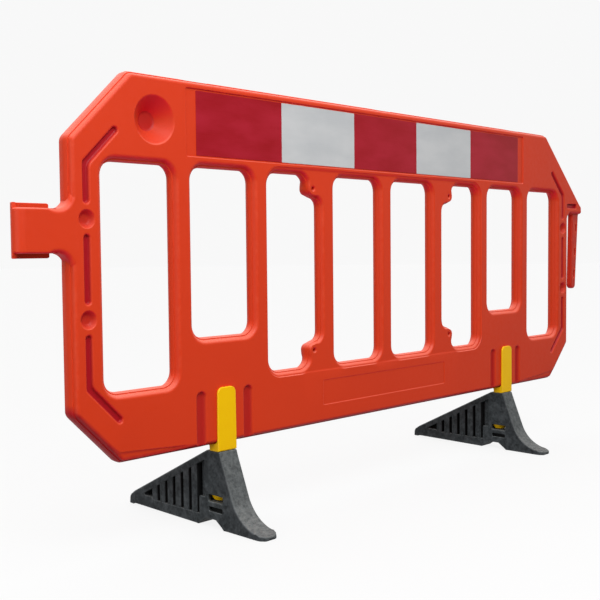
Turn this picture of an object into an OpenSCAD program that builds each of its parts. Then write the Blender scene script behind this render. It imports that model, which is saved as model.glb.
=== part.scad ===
// Pedestrian barrier panel: a blow-moulded barred panel on two swivelling anti-trip feet.
// X runs along the panel, the front faces -Y, Z is up, and the feet stand on Z = 0.

/* [Panel] */
// Length of the panel between its end edges, without the linking tongue and lug
panel_l = 1960; // [1900:10:2200]
// Height of the panel moulding, bottom edge to top edge
panel_h = 814; // [800:2:900]
// Thickness of the moulding, front face to back face
panel_t = 40; // [36:1:50]
// Size of the 45 degree corner cut at the top corners
top_chamfer = 147; // [120:1:170]
// Size of the 45 degree corner cut at the bottom corners
bottom_chamfer = 112; // [80:1:130]
// Radius of the outline's corners
corner_r = 22; // [10:1:40]
// How far the moulded edge leans in between the parting line and the face
edge_draft = 7.5; // [4:0.5:9]
// Radius of the rounded rim between the moulded edge and the face
rim_r = 8.5; // [5:0.5:10]
// Width of the face's bevel at the bottom corners
corner_bevel = 27; // [18:1:32]

/* [Windows] */
// Width of the end posts at the parting line
end_post_w = 80; // [70:1:90]
// Width of the bars between the windows at the parting line
bar_w = 56; // [50:1:80]
// Corner radius of a window at the parting line
window_r = 22; // [12:1:30]
// Height of the bottom rail, up to the window sills
bottom_rail_h = 150; // [148:1:170]
// Rise of the sill over each clip
raised_sill = 97; // [60:1:120]
// Height of the top rail, from the window heads up
top_rail_h = 190; // [186:1:220]
// Depth of the sunk field around the four middle windows
field_depth = 2.5; // [1:0.5:4]

/* [Screw ears] */
// Reach of a screw ear into its window
ear_reach = 45; // [36:1:50]
// Height of the upper ears
upper_ear_h = 54; // [48:1:64]
// Height of the lower ears
lower_ear_h = 62; // [56:1:70]
// Radius of an ear's free corner
ear_r = 18; // [15:1:20]
// Screw hole diameter
ear_hole_d = 9; // [5:0.5:12]
// Distance from the screw hole to the ear's end
ear_hole_inset = 19; // [16:1:24]
// Distance from the screw hole to the ear's free edge
ear_hole_up = 22; // [18:1:26]

/* [Reflective strip] */
// Distance from the top corner cuts to the outer sheets
strip_inset = 175.5; // [165:0.5:220]
// Height of the reflective sheets
sheet_h = 141; // [120:1:144]
// Thickness of a reflective sheet
sheet_t = 1; // [0.5:0.1:1.5]
// Depth of the recess that holds the sheets
strip_depth = 3; // [2:0.5:5]
// Space between the outer sheets and the ends of the recess
strip_end_gap = 30; // [10:1:40]
// Height of the recess's lower ledge above the window heads
strip_above_head = 22; // [20:1:24]
// Space between a sheet and the long sides of the recess
strip_side_gap = 4; // [2:0.5:6]

/* [Surface details] */
// Width of the channels in the end posts
groove_w = 14; // [10:1:18]
// Depth of the channels in the end posts
groove_depth = 7; // [4:0.5:9]
// Distance from the end edge to the channels
groove_inset = 38; // [36:1:44]
// Diameter of the round dimples between the channels
dimple_d = 40; // [30:1:44]
// Depth of the round dimples
dimple_depth = 10; // [5:1:14]
// Diameter of the conical dish at the face
dish_d = 104; // [80:1:120]
// Diameter of the dish's flat bottom
dish_floor_d = 40; // [20:1:50]
// Depth of the dish
dish_depth = 33; // [20:1:34]
// Half length of the shallow plate recess on the bottom rail
plate_half_l = 258; // [200:1:300]
// Depth of the shallow plate recess
plate_depth = 1.2; // [0.8:0.1:2]

/* [Linking ends] */
// Length of the tongue past the panel's end edge
tongue_out = 114; // [90:1:140]
// Height of the tongue's front plate
tongue_h = 84; // [60:1:100]
// Distance from the panel's top edge down to the tongue's middle
tongue_drop = 334; // [300:1:380]
// Wall thickness of the tongue
tongue_wall = 9; // [7:0.5:11]
// How far the tongue's rear flap is taller than its front plate, at each end
flap_over = 11; // [4:1:16]
// Clear slot between the panel's end edge and the rear flap
flap_slot = 23; // [15:1:40]
// Length of the lug past the panel's end edge
lug_out = 96; // [90:1:120]
// Height of the lug's blunt tip
lug_tip_h = 14; // [4:1:16]
// Length of the finger that hangs from the lug
finger_l = 256; // [200:1:300]
// Width of the finger at its root
finger_w = 43; // [34:1:48]
// Thickness of the finger
finger_t = 18; // [12:1:20]

/* [Clips] */
// Distance from the panel's end edge to a clip's middle
clip_from_end = 395; // [380:1:410]
// Width of a clip
clip_w = 56; // [48:1:70]
// Thickness of a clip's arms
clip_arm_t = 6; // [4:0.5:8]
// Height of a clip's arms above the panel's bottom edge
clip_arm_h = 132; // [110:1:140]
// Thickness of the clip's base, from the foot to the panel's seat
clip_base_t = 18; // [14:1:24]
// Rise of the panel's bottom edge where the clip seats
seat_rise = 3; // [1:0.5:5]
// Diameter of the stem that the foot turns on
stem_d = 34; // [26:1:36]
// Diameter of the snap barb at the stem's end
barb_d = 44; // [40:1:46]
// Width of the channels beside each clip
rail_groove_w = 26; // [18:1:30]
// Distance from a clip's middle to the channels beside it
rail_groove_off = 70; // [60:1:80]

/* [Feet] */
// Height of a foot, floor to the flat that carries the clip
foot_h = 178; // [160:1:200]
// Width of a foot
foot_w = 54; // [50:1:64]
// Distance from the swivel axis to the tail behind the panel
foot_tail = 322; // [300:1:340]
// Distance from the swivel axis to the toe in front of the panel
foot_toe = 168; // [160:1:180]
// Height of the upright end of the tail
tail_end_h = 12; // [8:1:16]
// Radius of the round upper edge of the tail
tail_r = 20; // [12:1:26]
// Radius of the hollow curve between the front face and the toe
toe_curve_r = 100; // [90:1:106]
// Lean of the front face from upright, in degrees
front_lean = 21.8; // [18:0.1:24]
// Thickness of the toe at its tip
toe_t = 10; // [8:1:14]
// Width of the slots between the ribs
slot_w = 9.5; // [7:0.5:12]
// Distance between the slots, centre to centre
slot_pitch = 30.6; // [28:0.1:32]
// Depth of the slots on each side
slot_depth = 18; // [8:1:20]
// Height of the tunnel under the foot
tunnel_h = 19; // [10:1:21]

/* [Hidden] */
$fn = 48;
// Clearances: swivel stem in its bore, clip base over the foot, barb under its ledge
stem_clear = 0.1;
thrust_clear = 0.2;
barb_clear = 0.3;
// Cutters pass the faces by this much
over = 1;

half_l = panel_l / 2;
tongue_reach = half_l + tongue_out;
lug_reach = half_l + lug_out;
half_t = panel_t / 2;
// Lean of the moulded edge, and how far its rim reaches into the face
draft_a = atan2(edge_draft, half_t);
edge_in = edge_draft + rim_r * tan((90 - draft_a) / 2);
rim_steps = 3;
far = 2 * panel_l;
mid_z = panel_h / 2;
bay_count = 8;
bays = [for (i = [0 : bay_count - 1]) i - (bay_count - 1) / 2];
bay_pitch = (panel_l - 2 * end_post_w + bar_w) / bay_count;
window_w = bay_pitch - bar_w;
sill_z = bottom_rail_h;
raised_sill_z = sill_z + raised_sill;
head_z = panel_h - top_rail_h;
clip_bay = 2.5;
clip_x = half_l - clip_from_end;
// Bottom edge of the panel over the floor
lift = foot_h + thrust_clear + clip_base_t - seat_rise;

// The part's origin is on the floor, under the middle of everything
frame_x = (tongue_reach - lug_reach) / 2;
frame_y = (foot_toe - foot_tail) / 2;

ear_bay = 1.5;
ear_facets = 3;
ear_hole_x = (ear_bay - 0.5) * bay_pitch + bar_w / 2 + ear_reach - ear_hole_inset;
ear_hole_top = head_z - upper_ear_h + ear_hole_up;
ear_hole_bottom = sill_z + lower_ear_h - ear_hole_up;

sheet_count = 5;
sheet_w = (panel_l - 2 * (top_chamfer + strip_inset)) / sheet_count;
strip_half_l = sheet_count * sheet_w / 2 + strip_end_gap;
strip_low = head_z + strip_above_head;
strip_high = strip_low + sheet_h + 2 * strip_side_gap;

// End post: two dimples, and channels that stop short of them and bend at the corners
post_x = half_l - groove_inset;
dimple_drop = 2;
dimple_mid = mid_z - dimple_drop;
dimple_gap = 101;
channel_gap = 38;
channel_bend = 70;
upper_bend_z = head_z - 7;
lower_bend_z = sill_z + 14;
rail_groove_top = clip_arm_h - 3;
plate_z = 49;
plate_h = 63;
dish_from_end = 209;
dish_from_top = 97;
seat_half_l = 56;
// Shallow dips in the top edge's crest
dip_inset = 10;
dip_x = sheet_count * sheet_w / 2 - dip_inset;
dip_l = 56;
dip_end = 12;
dip_depth = 3;
// The bevel at the bottom corners: how far it reaches up the edge's depth, and its length
corner_bevel_depth = 7;
corner_bevel_l = 420;

// Linking ends
tongue_z = panel_h - tongue_drop;
tongue_low = tongue_z - tongue_h / 2;
tongue_high = tongue_z + tongue_h / 2;
tongue_fillet = 25;
fillet_flare = 9;
tongue_bevel = 4;
lug_z = panel_h - top_chamfer - lug_out - lug_tip_h;
lug_root = 25;
lug_notch_l = 90;
lug_notch_depth = 3.5;
lug_notch_h = 10;
lug_lip_h = 20;
finger_inset = 28;
finger_taper = 6;
finger_lean = 14;

// Clip: round arm corners and the split that lets the barb spring in
arm_corner_r = 12;
split_w = 5;
split_h = 60;
// Room between the clip's fillings and the panel's rounded lower edge
fill_clear = 1;
fill_tail = 5;

// Foot: flat under the clip, snap chamber, side recess, ribs, tunnel and toe
top_flat_back = 18;
barb_low = 63;
barb_high = 75.7;
barb_room = 1;
chamber_low = 60;
side_front = 36;
side_back = 14;
recess_low = 37;
recess_h = 11;
recess_depth = 8;
rib_floor = 24;
rib_rim = 17;
rib_slots_full = 6;
first_slot = 50;
shoulder_z = 66;
shoulder_depth = 10;
tip_slot_l = 33;
tip_slot_rise = 5;
tunnel_front = 38;
tunnel_back = 52;
tunnel_ramp = 28;
toe_round = 18;
toe_fall = 8;
toe_flat = 22;
toe_rise = 14;
tip_turn = 80;
arc_steps = 8;

orange = [0.80, 0.25, 0.12];
yellow = [0.91, 0.74, 0.02];
rubber_black = [0.18, 0.19, 0.20];
sheet_red = [0.63, 0.11, 0.14];
sheet_white = [0.76, 0.76, 0.77];

// Places a shape of the standing object in the part's frame
module in_frame() {
    translate([frame_x, frame_y, 0]) children();
}

// Places a shape of the panel, drawn with its bottom edge at Z = 0
module on_panel() {
    in_frame() translate([0, 0, lift]) children();
}

// Points on a circle about c, and along its arc between two angles
function on_circle(c, r, a) = c + r * [cos(a), sin(a)];
function arc(c, r, a0, a1) = [for (i = [0 : arc_steps]) on_circle(c, r, a0 + (a1 - a0) * i / arc_steps)];

// Extrudes an X-Z outline from the depth y0 to the depth y1
module upright(y0, y1) {
    translate([0, y1, 0]) rotate([90, 0, 0]) linear_extrude(y1 - y0) children();
}

// Rim of a moulded edge whose parting line lies at d, from the face down to the drafted side.
// The solid lies towards -1 or +1, as s says
function rim(d, s) = [for (i = [0 : rim_steps])
    let (a = 90 - (90 - draft_a) * i / rim_steps)
        [d + s * (edge_in - rim_r * cos(a)), half_t - rim_r + rim_r * sin(a)]];
function edge_line(d, s) = let (half = rim(d, s)) concat(
    half, [[d, 0]], [for (i = [rim_steps : -1 : 0]) [half[i].x, -half[i].y]]);
// The same line carried on past both faces, for cutters
function past(p, q) = p + (p - q) * over / abs(p.y - q.y);
function past_faces(line) = let (n = len(line) - 1) concat(
    [past(line[0], line[1])], line, [past(line[n], line[n - 1])]);

// Everything inside one edge of the moulding, whose outward direction has the angle a from +X towards +Z
// and whose parting line lies at the distance d from the panel's middle
module edge_slab(a, d) {
    translate([0, 0, mid_z]) rotate([0, -a, 0]) linear_extrude(far, center = true)
        polygon(concat([[-far, half_t]], edge_line(d, -1), [[-far, -half_t]]));
}

// Cutter that takes off what lies past one short edge through the point c, in the outward direction a
module edge_cutter(c, a, l) {
    line = past_faces(edge_line(0, -1));
    translate([c.x, 0, c.y]) rotate([0, -a, 0]) linear_extrude(l, center = true)
        polygon(concat([[l, half_t + over]], line, [[l, -half_t - over]]));
}

// Distance of a 45 degree corner cut of size c from the panel's middle
function chamfer_d(c) = (half_l + mid_z - c) / sqrt(2);

// The outline's straight edges, each with its outward direction and its distance from the panel's middle
outline = [
    [0, half_l], [45, chamfer_d(top_chamfer)], [90, mid_z], [135, chamfer_d(top_chamfer)],
    [180, half_l], [225, chamfer_d(bottom_chamfer)], [270, mid_z], [315, chamfer_d(bottom_chamfer)]];
half_turn = 45 / 2;
// A short edge that rounds the corner after the edge i
function corner_edge(i) = [
    outline[i][0] + half_turn,
    (outline[i][1] + outline[(i + 1) % len(outline)][1]) / (2 * cos(half_turn))
        - corner_r * (1 / cos(half_turn) - 1)];

// The plate with its drafted and rounded outer edge
module panel_plate() {
    edges = concat(outline, [for (i = [0 : len(outline) - 1]) corner_edge(i)]);
    intersection_for (edge = edges) edge_slab(edge[0], edge[1]);
}

// The lug carries the top corner's slope on past the right end
module lug() {
    intersection() {
        edge_slab(45, chamfer_d(top_chamfer));
        edge_slab(0, lug_reach);
        edge_slab(270, mid_z - lug_z);
        translate([half_l - lug_root - edge_in, -panel_t, 0]) cube([panel_l, 2 * panel_t, panel_h]);
    }
}

// The finger hangs from the lug and drops into the next panel's tongue
module finger() {
    root_x = lug_reach - finger_inset;
    root_z = lug_z + edge_draft;
    tip_w = finger_w - 2 * finger_taper;
    tip_z = lug_z - finger_l + tip_w / 2;
    tip_x = root_x - finger_lean;
    upright(-finger_t / 2, finger_t / 2) {
        polygon([
            [root_x - finger_w / 2, root_z], [root_x + finger_w / 2, root_z],
            [tip_x + tip_w / 2, tip_z], [tip_x - tip_w / 2, tip_z]]);
        translate([tip_x, tip_z]) circle(d = tip_w);
    }
}

// Plan of the tongue: a channel with a round end, drawn in X and Y
module tongue_plan() {
    channel_x = -tongue_reach + half_t;
    inner_t = half_t - tongue_wall;
    difference() {
        union() {
            translate([channel_x, 0]) circle(r = half_t);
            translate([channel_x, -half_t]) square([tongue_reach - half_l + edge_in, panel_t]);
        }
        translate([channel_x, 0]) circle(r = inner_t);
        translate([channel_x, -inner_t]) square([panel_l, 2 * inner_t]);
    }
}

// Front plate of the tongue, swept into the panel's end edge by a flared fillet above and below
module tongue_plate() {
    fillet_x = edge_draft * (half_t - tongue_wall) / half_t - half_l - tongue_fillet;
    flare_per_mm = fillet_flare / tongue_wall;
    root_x = edge_in + over - half_l;
    difference() {
        union() {
            translate([0, 0, tongue_low]) linear_extrude(tongue_h) intersection() {
                tongue_plan();
                translate([-tongue_reach, -half_t]) square([tongue_reach + root_x, half_t]);
            }
            translate([fillet_x, -half_t, tongue_low - tongue_fillet])
                cube([root_x - fillet_x, tongue_wall, tongue_h + 2 * tongue_fillet]);
        }
        for (end = [0, 1]) translate([0, 0, tongue_z]) mirror([0, 0, end]) {
            translate([fillet_x, tongue_wall - half_t + over, tongue_h / 2 + tongue_fillet])
                rotate([90, 0, 0]) cylinder(
                    h = tongue_wall + 2 * over, r1 = tongue_fillet - flare_per_mm * over,
                    r2 = tongue_fillet + fillet_flare + flare_per_mm * over);
            translate([0, -half_t, tongue_h / 2]) sideways(-tongue_reach - over, fillet_x)
                polygon([[-over, -tongue_bevel - over], [tongue_bevel + over, over], [-over, over]]);
        }
    }
}

// The tongue: front plate, round end and taller rear flap, open at the top and bottom
module tongue() {
    tongue_plate();
    translate([0, 0, tongue_low - flap_over]) linear_extrude(tongue_h + 2 * flap_over) intersection() {
        tongue_plan();
        translate([-tongue_reach, 0]) square([tongue_reach - half_l - flap_slot, half_t]);
    }
}

// Profile across a window: d is half its width at the parting line
function flare(d) = past_faces(edge_line(d, 1));
function both_sides(half) = concat(half, [for (i = [len(half) - 1 : -1 : 0]) [-half[i].x, half[i].y]]);

// Cutter for one window with flared edges and round corners, between two heights and two ends
module window_cut(x0, x1, z0, z1) {
    w = x1 - x0;
    h = z1 - z0;
    translate([(x0 + x1) / 2, 0, (z0 + z1) / 2]) {
        linear_extrude(h - 2 * window_r, center = true) polygon(both_sides(flare(w / 2)));
        rotate([0, 90, 0]) linear_extrude(w - 2 * window_r, center = true)
            polygon(both_sides(flare(h / 2)));
        for (sx = [-1, 1], sz = [-1, 1])
            translate([sx * (w / 2 - window_r), 0, sz * (h / 2 - window_r)]) rotate([90, 0, 0])
                rotate_extrude() polygon(concat(
                    [[0, half_t + over]], flare(window_r), [[0, -half_t - over]]));
    }
}

// One bay's window: plain, over a clip, or with a pair of screw ears on its inner side
module bay_window(bay) {
    x0 = bay * bay_pitch - window_w / 2;
    x1 = x0 + window_w;
    if (abs(bay) == clip_bay) {
        window_cut(x0, x1, raised_sill_z, head_z);
    } else if (abs(bay) == ear_bay) {
        left_ear = bay > 0 ? ear_reach : 0;
        right_ear = bay > 0 ? 0 : ear_reach;
        window_cut(x0 + left_ear, x1 - right_ear, sill_z, head_z);
        window_cut(x0, x1, sill_z + lower_ear_h, head_z - upper_ear_h);
    } else {
        window_cut(x0, x1, sill_z, head_z);
    }
}

// Rounds the free corners of the screw ears on the panel's right half
module ear_rounds() {
    x = ear_bay * bay_pitch - window_w / 2 + ear_reach - ear_r;
    for (ear = [[sill_z + lower_ear_h - ear_r, 1], [head_z - upper_ear_h + ear_r, -1]])
        for (k = [1 : ear_facets]) {
            a = ear[1] * 90 * k / (ear_facets + 1);
            edge_cutter([x, ear[0]] + ear_r * [cos(a), sin(a)], a, ear_r);
        }
}

// Direction of one run of a path, its left side, and the side offset at a bend
function way(points, i) = let (run = points[i + 1] - points[i]) run / norm(run);
function left_of(v) = [-v.y, v.x];
function bend_side(points, i) =
    let (a = left_of(way(points, i - 1)), b = left_of(way(points, i))) (a + b) / (1 + a * b);
function heading(v) = atan2(v.y, v.x);

// A channel with round ends along a path of points in X and Z
module channel(points, w) {
    n = len(points) - 1;
    start_a = heading(way(points, 0));
    end_a = heading(way(points, n - 1));
    polygon(concat(
        arc(points[0], w / 2, start_a + 270, start_a + 90),
        [for (i = [1 : 1 : n - 1]) points[i] + w / 2 * bend_side(points, i)],
        arc(points[n], w / 2, end_a + 90, end_a - 90),
        [for (i = [n - 1 : -1 : 1]) points[i] - w / 2 * bend_side(points, i)]));
}

// Channels and dimples of one end post, drawn for the right end
module post_channels() {
    upper = dimple_mid + dimple_gap;
    lower = dimple_mid - dimple_gap;
    bend = [-channel_bend, channel_bend];
    channel([[post_x, upper_bend_z] + bend, [post_x, upper_bend_z],
             [post_x, upper + channel_gap]], groove_w);
    channel([[post_x, upper - channel_gap], [post_x, lower + channel_gap]], groove_w);
    channel([[post_x, lower - channel_gap], [post_x, lower_bend_z],
             [post_x - channel_bend, lower_bend_z - channel_bend]], groove_w);
}

// Cutter for the face's bevel, which widens along the bottom rail towards the right corner
module corner_wedge() {
    x = clip_x + rail_groove_off;
    slope = corner_bevel_depth / corner_bevel;
    tilt = atan2(corner_bevel - edge_in, half_l - bottom_chamfer - x);
    translate([x, -half_t, edge_in]) rotate([0, -tilt, 0]) sideways(0, corner_bevel_l)
        polygon([[-over, over / slope], [half_t, -half_t / slope], [-over, -half_t / slope]]);
}

// Cuts that both faces share, drawn on the front face at -Y
module face_cuts() {
    for (side = [0, 1]) mirror([side, 0, 0]) {
        upright(-half_t - over, groove_depth - half_t) post_channels();
        for (dz = [-dimple_gap, dimple_gap]) translate([post_x, dimple_depth - half_t, dimple_mid + dz])
            rotate([90, 0, 0]) cylinder(h = dimple_depth, d1 = dimple_d / 2, d2 = dimple_d);
        upright(-half_t - over, groove_depth - half_t)
            for (off = [-rail_groove_off, rail_groove_off])
                channel([[clip_x + off, -over], [clip_x + off, rail_groove_top]], rail_groove_w);
        corner_wedge();
    }
    translate([-strip_half_l, -half_t - over, strip_low])
        cube([2 * strip_half_l, strip_depth + over, strip_high - strip_low]);
    field_half_l = 2 * bay_pitch - bar_w / 2 + edge_in;
    translate([-field_half_l, -half_t - over, sill_z - edge_in])
        cube([2 * field_half_l, field_depth + over, head_z - sill_z + 2 * edge_in]);
    translate([half_l - lug_root, -half_t - over, lug_z + lug_lip_h])
        cube([lug_notch_l, lug_notch_depth + over, lug_notch_h]);
}

module panel() {
    color(orange) on_panel() difference() {
        union() {
            panel_plate();
            lug();
            finger();
            tongue();
        }
        for (bay = bays) bay_window(bay);
        for (face = [0, 1]) mirror([0, face, 0]) face_cuts();
        for (side = [0, 1]) mirror([side, 0, 0]) ear_rounds();
        for (x = [-dip_x, 0, dip_x]) translate([x, 0, panel_h]) upright(-panel_t, panel_t) polygon([
            [-dip_l / 2 - dip_end, over], [-dip_l / 2, -dip_depth],
            [dip_l / 2, -dip_depth], [dip_l / 2 + dip_end, over]]);
        translate([-plate_half_l, -half_t - over, plate_z])
            cube([2 * plate_half_l, plate_depth + over, plate_h]);
        translate([dish_from_end - half_l, dish_depth - half_t, panel_h - dish_from_top]) rotate([90, 0, 0])
            cylinder(h = dish_depth, d1 = dish_floor_d, d2 = dish_d);
        for (side = [-1, 1]) {
            translate([side * clip_x - seat_half_l, -panel_t, -over])
                cube([2 * seat_half_l, 2 * panel_t, seat_rise + over]);
            for (z = [ear_hole_bottom, ear_hole_top]) translate([side * ear_hole_x, panel_t, z])
                rotate([90, 0, 0]) cylinder(h = 2 * panel_t, d = ear_hole_d);
        }
    }
}

// One sheet of the reflective strip, counted from the left
module reflective_sheet(i, tint) {
    x = (i - sheet_count / 2) * sheet_w;
    color(tint) on_panel() translate([x, strip_depth - half_t - sheet_t, strip_low + strip_side_gap])
        cube([sheet_w, sheet_t, sheet_h]);
}

// Face of a clip's arm, with round upper corners
module clip_arm_face() {
    r = arm_corner_r;
    z0 = foot_h + thrust_clear;
    z1 = lift + clip_arm_h;
    translate([-clip_w / 2, z0]) square([clip_w, z1 - z0 - r]);
    translate([r - clip_w / 2, z1 - r - over]) square([clip_w - 2 * r, r + over]);
    for (side = [-1, 1]) translate([side * (clip_w / 2 - r), z1 - r]) circle(r = r);
}

// Filling between a clip's front arm and the panel's rounded lower edge
module clip_filling() {
    edge = rim(0, 1);
    low = seat_rise - over;
    high = edge[1].x - fill_clear;
    translate([0, 0, lift]) sideways(-clip_w / 2, clip_w / 2) polygon(concat(
        [[-half_t - over, low], [-half_t - over, high], [-half_t, high]],
        [for (i = [2 : rim_steps]) [-edge[i].y, edge[i].x - fill_clear]],
        [[fill_tail - edge[rim_steps].y, low]]));
}

// A saddle clip: two arms over the bottom rail, a base, and a split stem with a snap barb
module clip(side) {
    z0 = foot_h + thrust_clear;
    color(yellow) in_frame() translate([side * clip_x, 0, 0]) difference() {
        union() {
            upright(-half_t - clip_arm_t, -half_t) clip_arm_face();
            upright(half_t, half_t + clip_arm_t) clip_arm_face();
            translate([-clip_w / 2, -half_t, z0]) cube([clip_w, panel_t, clip_base_t]);
            for (face = [0, 1]) mirror([0, face, 0]) clip_filling();
            translate([0, 0, barb_low]) cylinder(h = z0 - barb_low + over, d = stem_d);
            translate([0, 0, barb_low]) cylinder(h = barb_high - barb_low, d1 = stem_d, d2 = barb_d);
        }
        translate([-split_w / 2, -barb_d, barb_low - over]) cube([split_w, 2 * barb_d, split_h]);
    }
}

// The rear slope runs from the flat under the clip to touch the tail's round edge
slope_top = [top_flat_back, foot_h];
tail_c = [foot_tail - tail_r, tail_end_h];
slope_run = tail_c - slope_top;
slope_a = atan2(slope_run.y, slope_run.x) + asin(tail_r / norm(slope_run));
function slope_z(y) = foot_h + (y - top_flat_back) * tan(slope_a);

// Side view of the foot in Y and Z
module foot_profile() {
    // The hollow curve touches the leaning front face and the gently falling toe
    curve_c = [toe_flat - foot_toe, toe_rise] + toe_curve_r * [-sin(toe_fall), cos(toe_fall)];
    face_low = curve_c + toe_curve_r * [cos(front_lean), -sin(front_lean)];
    face_top_y = face_low.x + (foot_h - face_low.y) * tan(front_lean);
    tip_r = toe_t / 2;
    polygon(concat(
        [[foot_tail, 0]],
        arc(tail_c, tail_r, 0, 90 + slope_a),
        [slope_top, [face_top_y, foot_h]],
        arc(curve_c, toe_curve_r, -front_lean, toe_fall - 90),
        arc([tip_r - foot_toe, tip_r], tip_r, 180 - tip_turn, 180 + tip_turn),
        [[-tunnel_front, 0], [tunnel_ramp - tunnel_front, tunnel_h],
         [tunnel_back - tunnel_ramp, tunnel_h], [tunnel_back, 0]]));
}

// Plan of the foot in X and Y, with round toe corners
module foot_plan() {
    translate([-foot_w / 2, toe_round - foot_toe]) square([foot_w, foot_toe + foot_tail - toe_round]);
    translate([toe_round - foot_w / 2, -foot_toe]) square([foot_w - 2 * toe_round, toe_round + over]);
    for (side = [-1, 1]) translate([side * (foot_w / 2 - toe_round), toe_round - foot_toe])
        circle(r = toe_round);
}

// Slots between the ribs of the rear part, in Y and Z
module rib_slots() {
    start = first_slot - slot_pitch;
    tip = first_slot + rib_slots_full * slot_pitch - slot_w / 2;
    end = tip + tip_slot_l;
    intersection() {
        polygon([
            [start, rib_floor], [start, slope_z(start) - rib_rim], [end, slope_z(end) - rib_rim],
            [end, rib_floor + tip_slot_rise], [tip, rib_floor]]);
        union() {
            for (i = [0 : rib_slots_full - 1])
                translate([first_slot + i * slot_pitch - slot_w / 2, 0]) square([slot_w, foot_h]);
            translate([tip, rib_floor + tip_slot_rise]) square([tip_slot_l, foot_h]);
        }
    }
}

// Shallow recess between the first slot and the foot's column, in Y and Z
module rib_shoulder() {
    start = first_slot - slot_pitch + slot_w / 2;
    polygon([
        [start, shoulder_z], [first_slot, shoulder_z],
        [first_slot, slope_z(first_slot) - rib_rim], [start, slope_z(start) - rib_rim]]);
}

// Extrudes a Y-Z outline from the distance x0 to the distance x1
module sideways(x0, x1) {
    translate([x0, 0, 0]) rotate([90, 0, 90]) linear_extrude(x1 - x0) children();
}

// An anti-trip foot: ribbed wedge behind, hollow-curved toe in front, bored for the clip's stem
module foot(side) {
    half_w = foot_w / 2;
    chamber_h = barb_high + barb_clear - chamber_low;
    color(rubber_black) in_frame() translate([side * clip_x, 0, 0]) difference() {
        intersection() {
            sideways(-half_w, half_w) foot_profile();
            linear_extrude(foot_h) foot_plan();
        }
        translate([0, 0, chamber_low]) cylinder(h = foot_h, r = stem_d / 2 + stem_clear);
        translate([0, 0, chamber_low]) cylinder(h = chamber_h, r = barb_d / 2 + barb_room);
        translate([-foot_w, -side_front, chamber_low])
            cube([2 * foot_w, side_front + side_back, chamber_h]);
        for (face = [0, 1]) mirror([face, 0, 0]) {
            sideways(half_w - slot_depth, half_w + over) rib_slots();
            sideways(half_w - shoulder_depth, half_w + over) rib_shoulder();
            translate([half_w - recess_depth, -side_front, recess_low])
                cube([recess_depth + over, side_front + side_back, recess_h]);
        }
    }
}

module reflective_red_left() { reflective_sheet(0, sheet_red); }
module reflective_white_left() { reflective_sheet(1, sheet_white); }
module reflective_red_centre() { reflective_sheet(2, sheet_red); }
module reflective_white_right() { reflective_sheet(3, sheet_white); }
module reflective_red_right() { reflective_sheet(4, sheet_red); }
module clip_left() { clip(-1); }
module clip_right() { clip(1); }
module foot_left() { foot(-1); }
module foot_right() { foot(1); }

panel();
reflective_red_left();
reflective_white_left();
reflective_red_centre();
reflective_white_right();
reflective_red_right();
clip_left();
clip_right();
foot_left();
foot_right();
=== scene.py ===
# %% [markdown]
# This lesson dresses a pedestrian barrier panel: one blow-moulded orange panel with eight windows, five
# reflective sheets, two yellow saddle clips and two ribbed rubber feet that swivel. The packed CAD frame
# gives every place and size, so it is loaded first.

# %% Load the frame
import math
import bmesh
import bpy
import numpy as np
from mathutils import Matrix, Vector
from mathutils.geometry import delaunay_2d_cdt


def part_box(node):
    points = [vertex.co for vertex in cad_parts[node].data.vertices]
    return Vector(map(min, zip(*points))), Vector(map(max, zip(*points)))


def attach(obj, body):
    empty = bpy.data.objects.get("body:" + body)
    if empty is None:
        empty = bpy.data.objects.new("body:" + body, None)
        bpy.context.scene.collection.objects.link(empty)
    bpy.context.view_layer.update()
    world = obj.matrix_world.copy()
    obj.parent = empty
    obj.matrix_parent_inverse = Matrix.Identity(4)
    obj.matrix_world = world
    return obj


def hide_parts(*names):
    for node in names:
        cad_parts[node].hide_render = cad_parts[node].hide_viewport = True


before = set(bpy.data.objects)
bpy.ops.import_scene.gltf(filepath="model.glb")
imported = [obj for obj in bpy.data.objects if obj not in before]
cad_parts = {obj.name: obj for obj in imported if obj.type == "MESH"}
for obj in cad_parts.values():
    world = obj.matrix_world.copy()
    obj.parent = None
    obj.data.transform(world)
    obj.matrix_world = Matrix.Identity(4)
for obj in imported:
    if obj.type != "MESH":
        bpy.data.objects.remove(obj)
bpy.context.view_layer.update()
MM = 0.001

# %% [markdown]
# The camera comes next, because every later choice is judged through it. Its place and turn were fitted
# to the photograph: it stands low, in front of the left end, and looks along the panel at about 45
# degrees. A camera can be aimed by eye or by a constraint, but a matrix of its three axes gives the
# fitted turn exactly.

# %% Camera at the photograph's angle
CAMERA_PLACE = (-1.98118, -1.71776, 0.63244)
YAW = 0.7944848
PITCH = 0.0523482
ROLL = -0.0094866
LENS = 56.7


def add_object(name, data):
    """A new object with this data, in the scene."""
    made = bpy.data.objects.new(name, data)
    bpy.context.scene.collection.objects.link(made)
    return made


forward = Vector((math.sin(YAW) * math.cos(PITCH), math.cos(YAW) * math.cos(PITCH), -math.sin(PITCH)))
level_right = Vector((math.cos(YAW), -math.sin(YAW), 0.0))
level_up = level_right.cross(forward)
right = level_right * math.cos(ROLL) + level_up * math.sin(ROLL)
up = level_up * math.cos(ROLL) - level_right * math.sin(ROLL)
camera_data = bpy.data.cameras.new("camera")
camera_data.sensor_width = 36.0
camera_data.lens = LENS
camera = add_object("camera", camera_data)
turn = Matrix((right, up, -forward)).transposed().to_4x4()
camera.matrix_world = Matrix.Translation(CAMERA_PLACE) @ turn
bpy.context.scene.camera = camera
print("camera lens", round(camera_data.lens, 1), "mm")

# %% [markdown]
# Every finish here is built from nodes, so it needs no picture and holds at any distance. Nodes can be
# placed by hand in the shader editor; in a script a few small helpers are enough. They turn an sRGB hex
# colour into the linear numbers that shaders want, add a node with its settings and links, and turn a
# real size into a texture's scale.

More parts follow.
